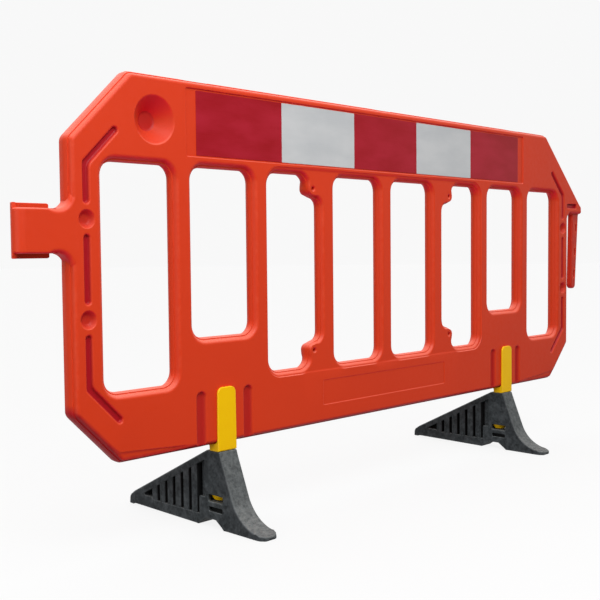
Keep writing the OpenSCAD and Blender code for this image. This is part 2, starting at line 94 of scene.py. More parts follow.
# %% Helpers for finishes
def linear(code):
    """Linear RGBA of an sRGB hex colour."""
    parts = [int(code[i:i + 2], 16) / 255 for i in (1, 3, 5)]
    return [p / 12.92 if p <= 0.04045 else ((p + 0.055) / 1.055) ** 2.4 for p in parts] + [1.0]


def add_node(tree, kind, inputs=None, **settings):
    """Adds one node. An input given as a socket is linked, any other value is set."""
    made = tree.nodes.new(kind)
    for name, value in settings.items():
        setattr(made, name, value)
    for name, value in (inputs or {}).items():
        if isinstance(value, bpy.types.NodeSocket):
            tree.links.new(value, made.inputs[name])
        else:
            made.inputs[name].default_value = value
    return made


def start_material(name):
    """An empty node material with its output; returns the material, its tree and the output node."""
    material = bpy.data.materials.new(name)
    material.use_nodes = True
    material.node_tree.nodes.clear()
    return material, material.node_tree, material.node_tree.nodes.new("ShaderNodeOutputMaterial")


def per_metre(size_mm):
    """Texture scale that makes one repeat of a pattern size_mm long, on coordinates in metres."""
    return 1000.0 / size_mm


# Sockets of the colour form of the Mix node
MIX_A = 6
MIX_B = 7
MIX_OUT = 2
print("sRGB #808080 is", round(linear("#808080")[0], 3), "in linear light")

# %% [markdown]
# The stage is a plain pale floor in a white studio. A photographer lights such a floor so evenly that
# shadows on it stay faint. Here it glows a little instead, and it is kept out of the bounce light, which
# the world gives. A pale wall far out closes the view from every side, and takes no part in the lighting
# either.

# %% Floor and wall
FLOOR_HALF = 40.0
WALL_R = 38.0
WALL_H = 30.0
WALL_PARTS = 96
# Matt paint: an even pale ground, with only a hint of shadow
floor_paint, tree, output = start_material("matt_white_studio_floor")
paint = add_node(tree, "ShaderNodeBsdfPrincipled", {
    "Base Color": linear("#4A4A4A"), "Roughness": 0.9, "Specular IOR Level": 0.0,
    "Emission Color": linear("#FFFFFF"), "Emission Strength": 0.86})
tree.links.new(paint.outputs[0], output.inputs[0])
floor_mesh = bpy.data.meshes.new("studio_floor")
floor_corners = [(x * FLOOR_HALF, y * FLOOR_HALF, 0.0) for x, y in ((-1, -1), (1, -1), (1, 1), (-1, 1))]
floor_mesh.from_pydata(floor_corners, [], [(0, 1, 2, 3)])
floor_mesh.materials.append(floor_paint)
floor = add_object("studio_floor", floor_mesh)

# Lit cloth: a background with no edge and no shade
wall_cloth, tree, output = start_material("white_studio_wall")
even = add_node(tree, "ShaderNodeEmission", {"Color": linear("#FFFFFF"), "Strength": 0.94})
tree.links.new(even.outputs[0], output.inputs[0])
wall_mesh = bpy.data.meshes.new("studio_wall")
around = [2 * math.pi * k / WALL_PARTS for k in range(WALL_PARTS)]
wall_points = [(WALL_R * math.cos(a), WALL_R * math.sin(a), z) for z in (0.0, WALL_H) for a in around]
pairs = [(k, (k + 1) % WALL_PARTS) for k in range(WALL_PARTS)]
wall_mesh.from_pydata(wall_points, [], [(a, a + WALL_PARTS, b + WALL_PARTS, b) for a, b in pairs])
wall_mesh.materials.append(wall_cloth)
wall = add_object("studio_wall", wall_mesh)
for part in (floor, wall):
    part.visible_diffuse = False
    part.visible_glossy = False
wall.visible_shadow = False
print("floor", 2 * FLOOR_HALF, "m wide, wall", WALL_H, "m high")

# %% [markdown]
# The world is the studio's bounce light. It could be one even grey, but then every edge would look flat.
# It is brighter above than below, so that upward edges shine and undersides stay dark, and brightest
# behind the panel.

# %% World
world = bpy.data.worlds.new("white_studio")
world.use_nodes = True
tree = world.node_tree
outward = add_node(tree, "ShaderNodeTexCoord").outputs["Generated"]
way = add_node(tree, "ShaderNodeSeparateXYZ", {0: outward})
over_floor = add_node(tree, "ShaderNodeMapRange", {
    "Value": way.outputs["Z"], "From Min": -0.14, "From Max": -0.02, "To Min": 0.35, "To Max": 0.94})
rearward = add_node(tree, "ShaderNodeMath", {0: way.outputs["X"], 1: way.outputs["Y"]}, operation="ADD")
behind = add_node(tree, "ShaderNodeMapRange", {
    "Value": rearward.outputs[0], "From Min": 0.05, "From Max": 0.6, "To Min": 0.2, "To Max": 1.0})
sides = add_node(tree, "ShaderNodeMath", {
    0: over_floor.outputs[0], 1: behind.outputs[0]}, operation="MULTIPLY")
overhead = add_node(tree, "ShaderNodeMapRange", {
    "Value": way.outputs["Z"], "From Min": 0.36, "From Max": 0.85, "To Min": 0.0, "To Max": 1.4})
bounce = add_node(tree, "ShaderNodeMapRange", {
    "Value": way.outputs["Z"], "From Min": -0.2, "From Max": -0.8, "To Min": 0.0, "To Max": 0.34})
ends = add_node(tree, "ShaderNodeMath", {0: overhead.outputs[0], 1: bounce.outputs[0]}, operation="ADD")
glow = add_node(tree, "ShaderNodeMath", {0: sides.outputs[0], 1: ends.outputs[0]}, operation="ADD")
tree.links.new(glow.outputs[0], tree.nodes["Background"].inputs["Strength"])
tree.nodes["Background"].inputs["Color"].default_value = linear("#FFFFFF")
bpy.context.scene.world = world
bpy.context.scene.view_settings.view_transform = "Standard"
print("world nodes", len(tree.nodes))

# %% [markdown]
# Two area lights stand for softboxes. Point lamps would give small hot spots and hard shadows, where the
# photograph has broad highlights and soft ones. One in front of the left end makes the panel darken
# towards its right end, and a weak one fills the edges that face left.

# %% Lights
def soft_light(name, place, aim, watts, size=2.0):
    """A square area light that looks from its place to its aim."""
    data = bpy.data.lights.new(name, "AREA")
    data.shape = "SQUARE"
    data.size = size
    data.energy = watts
    light = add_object(name, data)
    light.location = place
    light.rotation_euler = (Vector(aim) - Vector(place)).to_track_quat("-Z", "Y").to_euler()


soft_light("front_left", (-1.2, -2.2, 2.5), (-0.2, 0.0, 0.55), watts=70.0)
soft_light("left_fill", (-3.4, -0.5, 1.0), (-1.0, 0.0, 0.5), watts=24.0)

# %% [markdown]
# Moulded plastic is a plate with drafted, rounded edges. Such a plate can be modelled with bevels and
# booleans, but those break up near round corners. Here each edge is a loop of points with the material on
# its left, and rings of the same loop, moved inwards by a profile, make clean quads round every corner.

# %% Loops with round corners
ARC_STEP = math.radians(11.25)
SAME_SPOT = 1e-4


def round_loop(corners, step):
    """A closed loop through corners (x, z, radius). Returns its points and the directions to its left."""
    spots = np.array([c[:2] for c in corners], float)
    bends = []
    for i, corner in enumerate(corners):
        arrive = spots[i] - spots[i - 1]
        leave = spots[(i + 1) % len(corners)] - spots[i]
        arrive = arrive / np.linalg.norm(arrive)
        leave = leave / np.linalg.norm(leave)
        bend = math.atan2(arrive[0] * leave[1] - arrive[1] * leave[0], arrive @ leave)
        radius = math.copysign(corner[2], bend)
        begin = spots[i] - arrive * corner[2] * abs(math.tan(bend / 2))
        left = np.array((-arrive[1], arrive[0]))
        parts = max(1, round(abs(bend) / ARC_STEP)) if abs(bend) > 1e-6 else 0
        arc = []
        for k in range(parts + 1):
            a = bend * k / parts if parts else 0.0
            side = left * math.cos(a) + np.array((-left[1], left[0])) * math.sin(a)
            arc.append((begin + radius * (left - side), side))
        bends.append(arc)
    points = []
    sides = []
    for i, arc in enumerate(bends):
        start = bends[i - 1][-1][0]
        run = arc[0][0] - start
        parts = max(1, math.ceil(np.linalg.norm(run) / step - 1e-6))
        straight = [(start + run * k / parts, arc[0][1]) for k in range(1, parts)]
        for point, side in straight + arc:
            if points and np.linalg.norm(point - points[-1]) < SAME_SPOT:
                continue
            points.append(point)
            sides.append(side)
    if np.linalg.norm(points[0] - points[-1]) < SAME_SPOT:
        points.pop()
        sides.pop()
    return np.array(points), np.array(sides)


def circle_loop(x, z, radius, clockwise=False):
    """A round loop; counter-clockwise it holds its left inside, clockwise outside."""
    count = max(32, int(radius * 1.2))
    a = np.arange(count) * 2 * math.pi / count
    if clockwise:
        a = -a
    ring = np.column_stack((np.cos(a), np.sin(a)))
    return np.array((x, z)) + ring * radius, ring if clockwise else -ring


def room_beside(points, sides, others):
    """Radius of the largest circle that touches each point from its left and holds none of the others."""
    gap = others[None] - points[:, None]
    ahead = (gap * sides[:, None]).sum(2)
    square = (gap ** 2).sum(2)
    return np.where(ahead > SAME_SPOT, square / (2 * np.maximum(ahead, SAME_SPOT)), 1e6).min(1)


print("a square corner is rounded in", round(math.pi / 2 / ARC_STEP), "parts")

# %% [markdown]
# A shell collects rings and the faces between them. Vertices could be placed straight in a mesh, but
# rings are easier to think in. A shell also keeps two numbers for each point, which the finish reads
# later: wear, on edges that get rubbed, and painted shade, a darker colour in grooves and hollows.

# %% Shell of rings
def finished_mesh(thing):
    """A plain mesh of an object, as its modifiers leave it."""
    graph = bpy.context.evaluated_depsgraph_get()
    return bpy.data.meshes.new_from_object(thing.evaluated_get(graph))


class Shell:
    """Points in millimetres, their wear and painted shade numbers, and faces."""

    def __init__(self):
        self.points = []
        self.wear = []
        self.sunk = []
        self.faces = []

    def ring(self, xyz, wear=0.0, sunk=0.0):
        """Adds points and returns their numbers."""
        first = len(self.points)
        self.points.extend(np.asarray(xyz).tolist())
        self.wear.extend([wear] * len(xyz))
        self.sunk.extend(np.broadcast_to(sunk, len(xyz)).tolist())
        return list(range(first, first + len(xyz)))

    def strip(self, a, b, closed=True):
        """Quads between two rings."""
        count = len(a)
        for i in range(count if closed else count - 1):
            j = (i + 1) % count
            self.faces.append((a[i], a[j], b[j], b[i]))

    def stack(self, rings):
        """Quads from each ring to the next."""
        for a, b in zip(rings, rings[1:]):
            self.strip(a, b)

    def lathe(self, rings):
        """Closes a stack of rings with a cap at each end."""
        self.stack(rings)
        self.faces.append(tuple(rings[0]))
        self.faces.append(tuple(rings[-1]))

    def build(self, name, material, sharp=38.0):
        """Turns the shell into a closed, smooth object at the origin, in metres."""
        rough = bpy.data.meshes.new(name)
        bm = bmesh.new()
        wear = bm.verts.layers.float.new("wear")
        sunk = bm.verts.layers.float.new("sunk")
        for point, w, s in zip(self.points, self.wear, self.sunk):
            vert = bm.verts.new(Vector(point) * MM)
            vert[wear] = w
            vert[sunk] = s
        bm.verts.ensure_lookup_table()
        for face in self.faces:
            if len(set(face)) > 2:
                bm.faces.new([bm.verts[i] for i in face])
        bmesh.ops.remove_doubles(bm, verts=bm.verts, dist=2e-6)
        bmesh.ops.recalc_face_normals(bm, faces=bm.faces)
        loose = sum(1 for e in bm.edges if len(e.link_faces) != 2)
        for face in bm.faces:
            face.smooth = True
        bm.to_mesh(rough)
        bm.free()
        rough.materials.append(material)
        rough.set_sharp_from_angle(angle=math.radians(sharp))
        made = add_object(name, rough)
        # Normals weighted by area keep the flat faces flat beside their rounded rims
        weigh = made.modifiers.new("weigh", "WEIGHTED_NORMAL")
        weigh.keep_sharp = True
        mesh = finished_mesh(made)
        made.modifiers.remove(weigh)
        made.data = mesh
        bpy.data.meshes.remove(rough)
        mesh.name = name
        triangles = sum(len(p.vertices) - 2 for p in mesh.polygons)
        print(name, triangles, "triangles,", loose, "open edges")
        return made


print("a shell keeps", ", ".join(vars(Shell())))

# %% [markdown]
# The flat face between all those loops has no pattern of quads. One large polygon with holes isn't
# possible in a mesh, so the face is filled by a constrained Delaunay triangulation, which keeps every
# loop as an edge. A triangle is kept where a line from it crosses the loops an odd number of times.

# %% Filling a face
def crossings_odd(spots, loops):
    """True for each spot that lies inside the loops."""
    odd = np.zeros(len(spots), bool)
    for loop in loops:
        a = loop[:, None]
        b = np.roll(loop, -1, 0)[:, None]
        spans = (a[..., 1] > spots[None, :, 1]) != (b[..., 1] > spots[None, :, 1])
        rise = np.where(b[..., 1] == a[..., 1], 1.0, b[..., 1] - a[..., 1])
        cut = a[..., 0] + (spots[None, :, 1] - a[..., 1]) * (b[..., 0] - a[..., 0]) / rise
        odd ^= ((spans & (cut > spots[None, :, 0])).sum(0) % 2).astype(bool)
    return odd


def fill_face(shell, borders, lines=()):
    """Triangles between borders, each of 2-D points and their numbers; lines join numbered points."""
    flat = np.concatenate([border[0] for border in borders])
    numbers = [n for border in borders for n in border[1]]
    place = {n: i for i, n in enumerate(numbers)}
    edges = []
    first = 0
    for border in borders:
        count = len(border[1])
        edges += [(first + i, first + (i + 1) % count) for i in range(count)]
        first += count
    edges += [(place[a], place[b]) for a, b in lines]
    spots = [Vector(p) for p in flat]
    out, _, triangles, origin, _, _ = delaunay_2d_cdt(spots, edges, [], 0, SAME_SPOT)
    out = np.array([tuple(v) for v in out])
    extra = sum(1 for o in origin if not o)
    if extra:
        print("face fill met", extra, "crossing lines")
    corners = np.array([out[list(t)] for t in triangles])
    keep = crossings_odd(corners.mean(1), [border[0] for border in borders])
    one, two = corners[:, 1] - corners[:, 0], corners[:, 2] - corners[:, 0]
    reach = np.linalg.norm(corners - np.roll(corners, 1, 1), axis=2).max(1)
    sliver = np.abs(one[:, 0] * two[:, 1] - one[:, 1] * two[:, 0]) < 1e-4 * reach ** 2
    # A sliver on a straight border is kept only if its long side meets a kept triangle
    sides = [[tuple(sorted((t[i], t[i - 1]))) for i in range(3)] for t in triangles]
    longest = [max(s, key=lambda e: (Vector(out[e[0]]) - Vector(out[e[1]])).length) for s in sides]
    met = {e for s, kept, thin in zip(sides, keep, sliver) if kept and not thin for e in s}
    for triangle, kept, thin, long_side in zip(triangles, keep, sliver, longest):
        if (long_side in met if thin else kept) and all(origin[i] for i in triangle):
            shell.faces.append(tuple(numbers[origin[i][0]] for i in triangle))


unit_square = np.array([(0, 0), (1, 0), (1, 1), (0, 1)], float)
print("inside a square:", crossings_odd(np.array([(0.5, 0.5), (2.0, 0.5)]), [unit_square]).tolist())

# %% [markdown]
# Panel, sheets, clips and feet are all plates seen from one side or another. One function makes both
# skins of any of them: rings along each edge, rings down the wall of each hollow, and a filled face
# between. Modifiers such as Solidify and Bevel could do that piece by piece, but they know nothing of
# draft and sunk walls, so one function gives every piece the same clean edges.

# %% Making a plate
FRONT = -1
BACK = 1


def profiled(loop, profile, **extras):
    """A loop with the profile of its edge or wall, and any back, trim, painted shade or faces of its own.
    """
    points, sides = loop
    return {"points": points, "sides": sides, "profile": profile, **extras}


def plate(shell, loops, hollows, level, place, depth, splice=None, lines=None):
    """Both skins of a plate, from the loops of its edges and of its hollows."""
    everything = np.concatenate([loop["points"] for loop in loops])
    for side in (FRONT, BACK):
        borders = []
        for loop in loops:
            points, sides = loop["points"], loop["sides"]
            profile = loop.get("back", loop["profile"]) if side == BACK else loop["profile"]
            reach = max(row[0] for row in profile)
            room = room_beside(points, sides, everything)
            scale = np.minimum(1.0, 0.9 * room / reach) if reach else np.ones(len(points))
            rings = []
            for inwards, height, wear in profile:
                q = points + sides * (inwards * scale)[:, None]
                if "trim" in loop:
                    q = loop["trim"](q)
                sunk = loop["sunk"](q) if "sunk" in loop else 0.0
                rings.append(shell.ring(place(q, side * level(q, height)), wear, sunk))
            shell.stack(rings)
            borders.append((q, rings[-1]))
        if splice:
            borders[0] = splice(borders[0], side)
        for cut in hollows:
            if side not in cut.get("faces", (FRONT, BACK)):
                continue
            rings = []
            for inwards, drop, wear, sunk in cut["profile"]:
                q = cut["points"] + cut["sides"] * inwards
                rings.append(shell.ring(place(q, side * (level(q, depth) - drop)), wear, sunk))
            shell.stack(rings)
            shell.faces.append(tuple(rings[-1]))
            borders.append((cut["points"], rings[0]))
        fill_face(shell, borders, lines(borders) if lines else ())


def even_level(q, height):
    """The height of a plate of one thickness."""
    return np.full(len(q), float(height))


def box_corners(x0, x1, z0, z1, radius):
    """Corners of a rounded rectangle, counter-clockwise."""
    return [(x0, z0, radius), (x1, z0, radius), (x1, z1, radius), (x0, z1, radius)]


print("a rounded box has", len(round_loop(box_corners(0, 100, 0, 50, 10), step=20.0)[0]), "points")

# %% [markdown]
# The panel's finish is orange-red polyethylene, blow-moulded and left satin. Its colour drifts a little
# across the sheet, its moulded face has a fine grain over a slow ripple, and rubbed edges go paler. Faces
# that look up get a painted sheen of chalky pink, and undersides, grooves and hollows get painted shade in
# a darker crimson. A painted picture could show all that, but nodes that read the surface's slant and the
# two stored numbers follow the shape by themselves.

# %% Panel finish
# Satin moulded plastic: broad soft highlights, no mirror image, and a strong colour even in the shade
panel_plastic, tree, output = start_material("satin_orange_polyethylene")
where = add_node(tree, "ShaderNodeTexCoord").outputs["Object"]
drift = add_node(tree, "ShaderNodeTexNoise", {"Vector": where, "Scale": per_metre(260), "Detail": 3.0})
tint = add_node(tree, "ShaderNodeMix", {
    0: drift.outputs[0], MIX_A: linear("#CC3513"), MIX_B: linear("#D43A15")}, data_type="RGBA")
sunk_in = add_node(tree, "ShaderNodeAttribute", attribute_name="sunk")
facing = add_node(tree, "ShaderNodeNewGeometry")
slant = add_node(tree, "ShaderNodeSeparateXYZ", {0: facing.outputs["Normal"]})
# Painted shade: faces that look down go towards a darker crimson
underside_painted_shade = add_node(tree, "ShaderNodeMapRange", {
    "Value": slant.outputs["Z"], "From Min": -0.1, "From Max": -0.7, "To Min": 0.0, "To Max": 0.9})
painted_shade_crimson = add_node(tree, "ShaderNodeMix", {
    0: underside_painted_shade.outputs[0], MIX_A: tint.outputs[MIX_OUT], MIX_B: linear("#F0122A")}, data_type="RGBA")
# Painted shade: the stored shade number turns grooves, channels, dents and hollows a darker crimson
deep = add_node(tree, "ShaderNodeMix", {
    0: sunk_in.outputs["Fac"], MIX_A: painted_shade_crimson.outputs[MIX_OUT], MIX_B: linear("#A80C1A")}, data_type="RGBA")
# Painted sheen: faces that look up go a pale chalky pink, held back inside hollows
open_sky = add_node(tree, "ShaderNodeMapRange", {
    "Value": sunk_in.outputs["Fac"], "From Min": 0.0, "From Max": 0.12, "To Min": 1.0, "To Max": 0.1})
upward = add_node(tree, "ShaderNodeMapRange", {
    "Value": slant.outputs["Z"], "From Min": 0.25, "From Max": 0.75, "To Min": 0.0, "To Max": 0.9})
painted_sheen = add_node(tree, "ShaderNodeMath", {
    0: upward.outputs[0], 1: open_sky.outputs[0]}, operation="MULTIPLY")
painted_sheen_colour = add_node(tree, "ShaderNodeMix", {
    0: painted_sheen.outputs[0], MIX_A: deep.outputs[MIX_OUT], MIX_B: linear("#D45F4B")}, data_type="RGBA")
print("nodes of the panel's colour", len(tree.nodes))

# %% [markdown]
# Handling rubs the rims, so the plastic is paler there, in patches and not in even lines. The skin of a
# blow-moulding also waves a little and carries the grain of its mould. Both could be modelled as
# geometry, but they are well under a millimetre high, so a bump in the finish is enough.

# %% Panel wear and grain
rubbed = add_node(tree, "ShaderNodeAttribute", attribute_name="wear")
scuffs = add_node(tree, "ShaderNodeTexNoise", {"Vector": where, "Scale": per_metre(14), "Detail": 6.0})
patches = add_node(tree, "ShaderNodeMapRange", {
    "Value": scuffs.outputs[0], "From Min": 0.42, "From Max": 0.68, "To Min": 0.0, "To Max": 0.15})
worn = add_node(tree, "ShaderNodeMath", {
    0: rubbed.outputs["Fac"], 1: patches.outputs[0]}, operation="MULTIPLY")
skin = add_node(tree, "ShaderNodeMix", {
    0: worn.outputs[0], MIX_A: painted_sheen_colour.outputs[MIX_OUT], MIX_B: linear("#E06A4C")}, data_type="RGBA")
# The moulded grain is about 1 mm on the real sheet; it is drawn at 3 mm so that it shows
grain = add_node(tree, "ShaderNodeTexNoise", {"Vector": where, "Scale": per_metre(3), "Detail": 2.0})
ripple = add_node(tree, "ShaderNodeTexNoise", {"Vector": where, "Scale": per_metre(90), "Detail": 1.0})
waves = add_node(tree, "ShaderNodeBump", {
    "Height": ripple.outputs[0], "Strength": 0.12, "Distance": 0.004})
pebbles = add_node(tree, "ShaderNodeBump", {
    "Height": grain.outputs[0], "Strength": 0.08, "Distance": 0.0008, "Normal": waves.outputs[0]})
gloss = add_node(tree, "ShaderNodeMapRange", {
    "Value": scuffs.outputs[0], "From Min": 0.3, "From Max": 0.7, "To Min": 0.4, "To Max": 0.52})
plastic = add_node(tree, "ShaderNodeBsdfPrincipled", {
    "Base Color": skin.outputs[MIX_OUT], "Roughness": gloss.outputs[0], "IOR": 1.51,
    "Specular IOR Level": 0.24, "Normal": pebbles.outputs[0]})
tree.links.new(plastic.outputs[0], output.inputs[0])
print(panel_plastic.name, len(tree.nodes), "nodes")

# %% [markdown]
# The panel's own drawing is in millimetres from the middle of its bottom edge. Its profiles say how an
# edge goes from the parting line, in the middle of the thickness, to the face: a drafted side, a small
# step, and a rounded rim. The bars of the four middle windows lie a little deeper than the rest of the
# face. A bevel modifier gives one round only, so the rows of each profile are written out.

# %% Panel sizes and edge profiles
HALF_L = 980.0
PANEL_H = 814.0
HALF_T = 20.0
TONGUE_REACH = 1094.0
panel_low, panel_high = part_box("panel")
panel_x = panel_low.x / MM + TONGUE_REACH
panel_y = (panel_low.y + panel_high.y) / 2 / MM
panel_z = panel_low.z / MM
# Each row is the way in from the parting line, the height above it, and the wear
RIM_IN = 14.9
LIP_EDGE = [(0, 0, 0), (1.3, 4.2, 0), (2.4, 8, 0.2), (2.9, 9.4, 0.4), (4.9, 9.6, 0), (5.5, 11.6, 0.2),
            (6.2, 14, 0.4), (7.1, 16.3, 0.7), (8.5, 18.2, 0.8), (10.6, 19.5, 0.6), (13.4, 20, 0.2),
            (RIM_IN, 20, 0)]
# The back half of the outer edge is squarer, as the double band along the upper left corner shows
BACK_EDGE = [(0, 0, 0), (0.3, 6, 0), (0.6, 12, 0), (1, 15.5, 0.2), (1.9, 18, 0.5), (3.6, 19.5, 0.4),
             (5.6, 20, 0.1), (RIM_IN, 20, 0)]
WINDOW_IN = 17.0
WINDOW_SIDE = [(0, 0, 0), (1.4, 4.2, 0), (2.8, 8, 0.2), (3.4, 9.4, 0.4)]
WINDOW_LIP = WINDOW_SIDE + [(5.6, 9.6, 0), (6.6, 11.6, 0.2), (7.8, 14, 0.4), (9.2, 16.3, 0.7),
                            (11, 18.2, 0.8), (13.2, 19.5, 0.6), (15.6, 20, 0.2), (WINDOW_IN, 20, 0)]
SUNK_LIP = WINDOW_SIDE + [(5.4, 9.6, 0), (6.4, 11.4, 0.2), (7.5, 13.2, 0.4), (8.9, 15.1, 0.7),
                          (10.6, 16.7, 0.7), (12.8, 17.5, 0.2), (14.2, 17.5, 0), (16.3, 20, 0.2),
                          (WINDOW_IN, 20, 0)]
HOLE_LIP = [(0, 0, 0), (0, 14, 0), (0.5, 15.3, 0), (2.6, 17.2, 0.3), (3.4, 17.5, 0), (4.4, 17.5, 0)]


def on_panel(q, y):
    """Places panel points at the depth y."""
    return np.column_stack((q[:, 0] + panel_x, np.broadcast_to(y, len(q)) + panel_y, q[:, 1] + panel_z))


print("panel drawing starts at", [round(v, 2) for v in (panel_x, panel_y, panel_z)])

# %% [markdown]
# Some forms are not edges but heights of the face: the sunk field, the channels that run out through the
# bottom edge beside each clip, and the band that widens along the bottom rail. They could be cut by
# booleans; instead one function gives the face's height anywhere, and every ring is simply lowered to it.

# %% Height of the panel's face
CLIP_X = 585.0
GROOVE_OFF = 70.0
GROOVE_TOP = 114.0
# Each row is the way out from the channel's middle and the height there
GROOVE_WALL = [(6.5, 13.0), (8.8, 13.3), (10.6, 14.4), (12, 16.2), (13.2, 18.2), (14.2, 19.4), (15.4, 19.9),
               (16.6, 20)]
GROOVE_X = [side * CLIP_X + off for side in (-1, 1) for off in (-GROOVE_OFF, GROOVE_OFF)]
GROOVE_SHADE = 0.7
FIELD_HALF = (450.2, 251.2)
FIELD_MID = 387.0
FIELD_R = 43.2
FIELD_STEP = 2.1
FIELD_DEPTH = 2.5
BAND_TOP = ((680.0, RIM_IN), (868.0, 27.0))
BAND_STEP = 3.2
BAND_LEAN = 0.06
BAND_EASE = 50.0


def groove_height(q):
    """Height of the face in and between the channels beside the clips."""
    walls = np.array(GROOVE_WALL)
    off = np.hypot(q[:, :1] - np.array(GROOVE_X), np.maximum(q[:, 1:] - GROOVE_TOP, 0)).min(1)
    return np.interp(off, walls[:, 0], walls[:, 1])


def groove_sunk(q):
    """Painted shade in the channels, growing from the lip to the bottom."""
    return GROOVE_SHADE * np.clip((HALF_T - 1 - groove_height(q)) / 5, 0, 1)


def face_height(q):
    """Height of the panel's face over its middle plane at each point."""
    x, z = q[:, 0], q[:, 1]
    over_x = np.abs(x) - (FIELD_HALF[0] - FIELD_R)
    over_z = np.abs(z - FIELD_MID) - (FIELD_HALF[1] - FIELD_R)
    outside = np.hypot(np.maximum(over_x, 0), np.maximum(over_z, 0))
    outside = outside + np.minimum(np.maximum(over_x, over_z), 0)
    height = HALF_T - FIELD_DEPTH + FIELD_DEPTH * np.clip((outside - FIELD_R) / FIELD_STEP, 0, 1)
    height = np.minimum(height, groove_height(q))
    (x0, z0), (x1, z1) = BAND_TOP
    below = z0 + (np.abs(x) - x0) * (z1 - z0) / (x1 - x0) - z
    drop = np.clip(below, 0, BAND_STEP) + BAND_LEAN * np.maximum(below - BAND_STEP, 0)
    return height - drop * np.clip((np.abs(x) - x0) / BAND_EASE, 0, 1)


def panel_level(q, height):
    """A ring's own height, lowered to the face."""
    return np.minimum(height, face_height(q))


print("heights of field and rail", face_height(np.array([(0.0, FIELD_MID), (0.0, PANEL_H)])).tolist())

# %% [markdown]
# The outline runs counter-clockwise: bottom edge, right end with the lug that carries the top corner's
# slope on, top edge, left end. It could be traced as a curve, but corners with a radius stay easy to
# change. Extra points along it mark where channels, seats and dips begin.

# %% Panel outline
BOTTOM_CUT = 112.0
TOP_CUT = 147.0
CORNER_R = 22.0
LUG_REACH = 1076.0
LUG_Z = 553.0
LUG_TIP = 30.0
LUG_INNER_R = 18.0
LUG_UNDER_R = 12.0
LUG_TIP_R = 14.0
SEAT_HALF = 56.8
DIP_X = (-647.5, 0.0, 647.5)
DIP_HALF = 28.0
DIP_END = 12.0
BAND_FOOT = 730.0
# Where the band's two lines meet the rim of the bottom corner cut
BAND_ENDS = ((874.33, 27.4), (870.91, 23.98))
CUT_SHIFT = RIM_IN * math.sqrt(0.5)

marks = [cx + side * wall[0] for cx in GROOVE_X for side in (-1, 1) for wall in GROOVE_WALL]
marks += [side * CLIP_X + end * SEAT_HALF for side in (-1, 1) for end in (-1, 1)]
marks += [side * x for side in (-1, 1) for x in (BAND_TOP[0][0], BAND_FOOT)]
bottom_marks = [(x, 0.0, 0.0) for x in sorted(set(round(m, 3) for m in marks))]
dip_ends = [DIP_HALF + d for d in (0, DIP_END / 2, DIP_END)]
dip_marks = sorted(x + s * d for x in DIP_X for s in (-1, 1) for d in dip_ends)
band_marks = [(x + CUT_SHIFT, z - CUT_SHIFT, 0.0) for x, z in BAND_ENDS]
outline = [(-HALF_L + BOTTOM_CUT, 0, CORNER_R)] + bottom_marks + [(HALF_L - BOTTOM_CUT, 0, CORNER_R)]
outline += band_marks[::-1] + [(HALF_L, BOTTOM_CUT, CORNER_R)]
outline += [(HALF_L, LUG_Z, LUG_INNER_R), (LUG_REACH, LUG_Z, LUG_UNDER_R),
            (LUG_REACH, LUG_Z + LUG_TIP, LUG_TIP_R), (HALF_L - TOP_CUT, PANEL_H, CORNER_R)]
outline += [(x, PANEL_H, 0.0) for x in reversed(dip_marks)]
outline += [(-HALF_L + TOP_CUT, PANEL_H, CORNER_R), (-HALF_L, PANEL_H - TOP_CUT, CORNER_R),
            (-HALF_L, BOTTOM_CUT, CORNER_R)] + [(-x, z, r) for x, z, r in band_marks]
print("outline corners", len(outline))

# %% [markdown]
# Over each clip the bottom edge has a shallow seat, and the top edge dips in three places. They could be
# more corners of the outline; a function that limits the height of each ring is simpler, and eases the
# dips in and out. A second function gives the rim its painted shade, for the finish.

# %% Seats, dips and the shaded rim
SEAT_RISE = 3.0
DIP_DEPTH = 3.0
RIM_SHADE = 0.9
RIM_FADE = 7.0


def seats_and_dips(q):
    """Lifts the bottom edge over the clips and lowers the top edge in its dips."""
    q = q.copy()
    for side in (-1, 1):
        seat = np.abs(q[:, 0] - side * CLIP_X) <= SEAT_HALF + 0.01
        q[:, 1] = np.where(seat, np.maximum(q[:, 1], SEAT_RISE), q[:, 1])
    for x in DIP_X:
        fall = np.clip((DIP_HALF + DIP_END - np.abs(q[:, 0] - x)) / DIP_END, 0, 1)
        fall = fall * fall * (3 - 2 * fall)
        q[:, 1] = np.minimum(q[:, 1], PANEL_H - DIP_DEPTH * fall)
    return q


def low_rim_sunk(q):
    """Painted shade on the outline's rim: in the channels, and where it turns under the bottom edges."""
    cut = (q[:, 1] - np.abs(q[:, 0]) + HALF_L - BOTTOM_CUT) * math.sqrt(0.5)
    under = RIM_SHADE * np.clip((RIM_IN - np.minimum(q[:, 1], cut)) / RIM_FADE, 0, 1)
    return np.maximum(groove_sunk(q), under)


loops = [profiled(round_loop(outline, step=14.0), LIP_EDGE, back=BACK_EDGE, trim=seats_and_dips,
                  sunk=low_rim_sunk)]
print("outline points", len(loops[0]["points"]))

# %% [markdown]
# Eight bays repeat along the panel, but they are not all alike: over each clip the sill is higher, and
# two windows carry a pair of screw ears on the side towards the middle. An array modifier would make them
# equal, so one function draws the window of any bay, and the left half mirrors the right.

# %% Windows and screw holes
BAY_PITCH = 232.0
HALF_WINDOW = 88.0
WINDOW_R = 29.0
SILL = 150.0
RAISED_SILL = 247.0
HEAD = 624.0
BAYS = (0.5, 1.5, 2.5, 3.5)
SUNK_BAYS = (0.5, 1.5)
EAR_BAY = 1.5
CLIP_BAY = 2.5
EAR_REACH = 45.0
EAR_R = 18.0
EAR_IN = 22.0
LOWER_EAR = SILL + 62.0
UPPER_EAR = HEAD - 54.0
# The ears' ends slope towards the bar
EAR_SLOPE = 9.0
SCREW_X = 286.0
SCREW_Z = (190.0, 592.0)
SCREW_R = 4.5


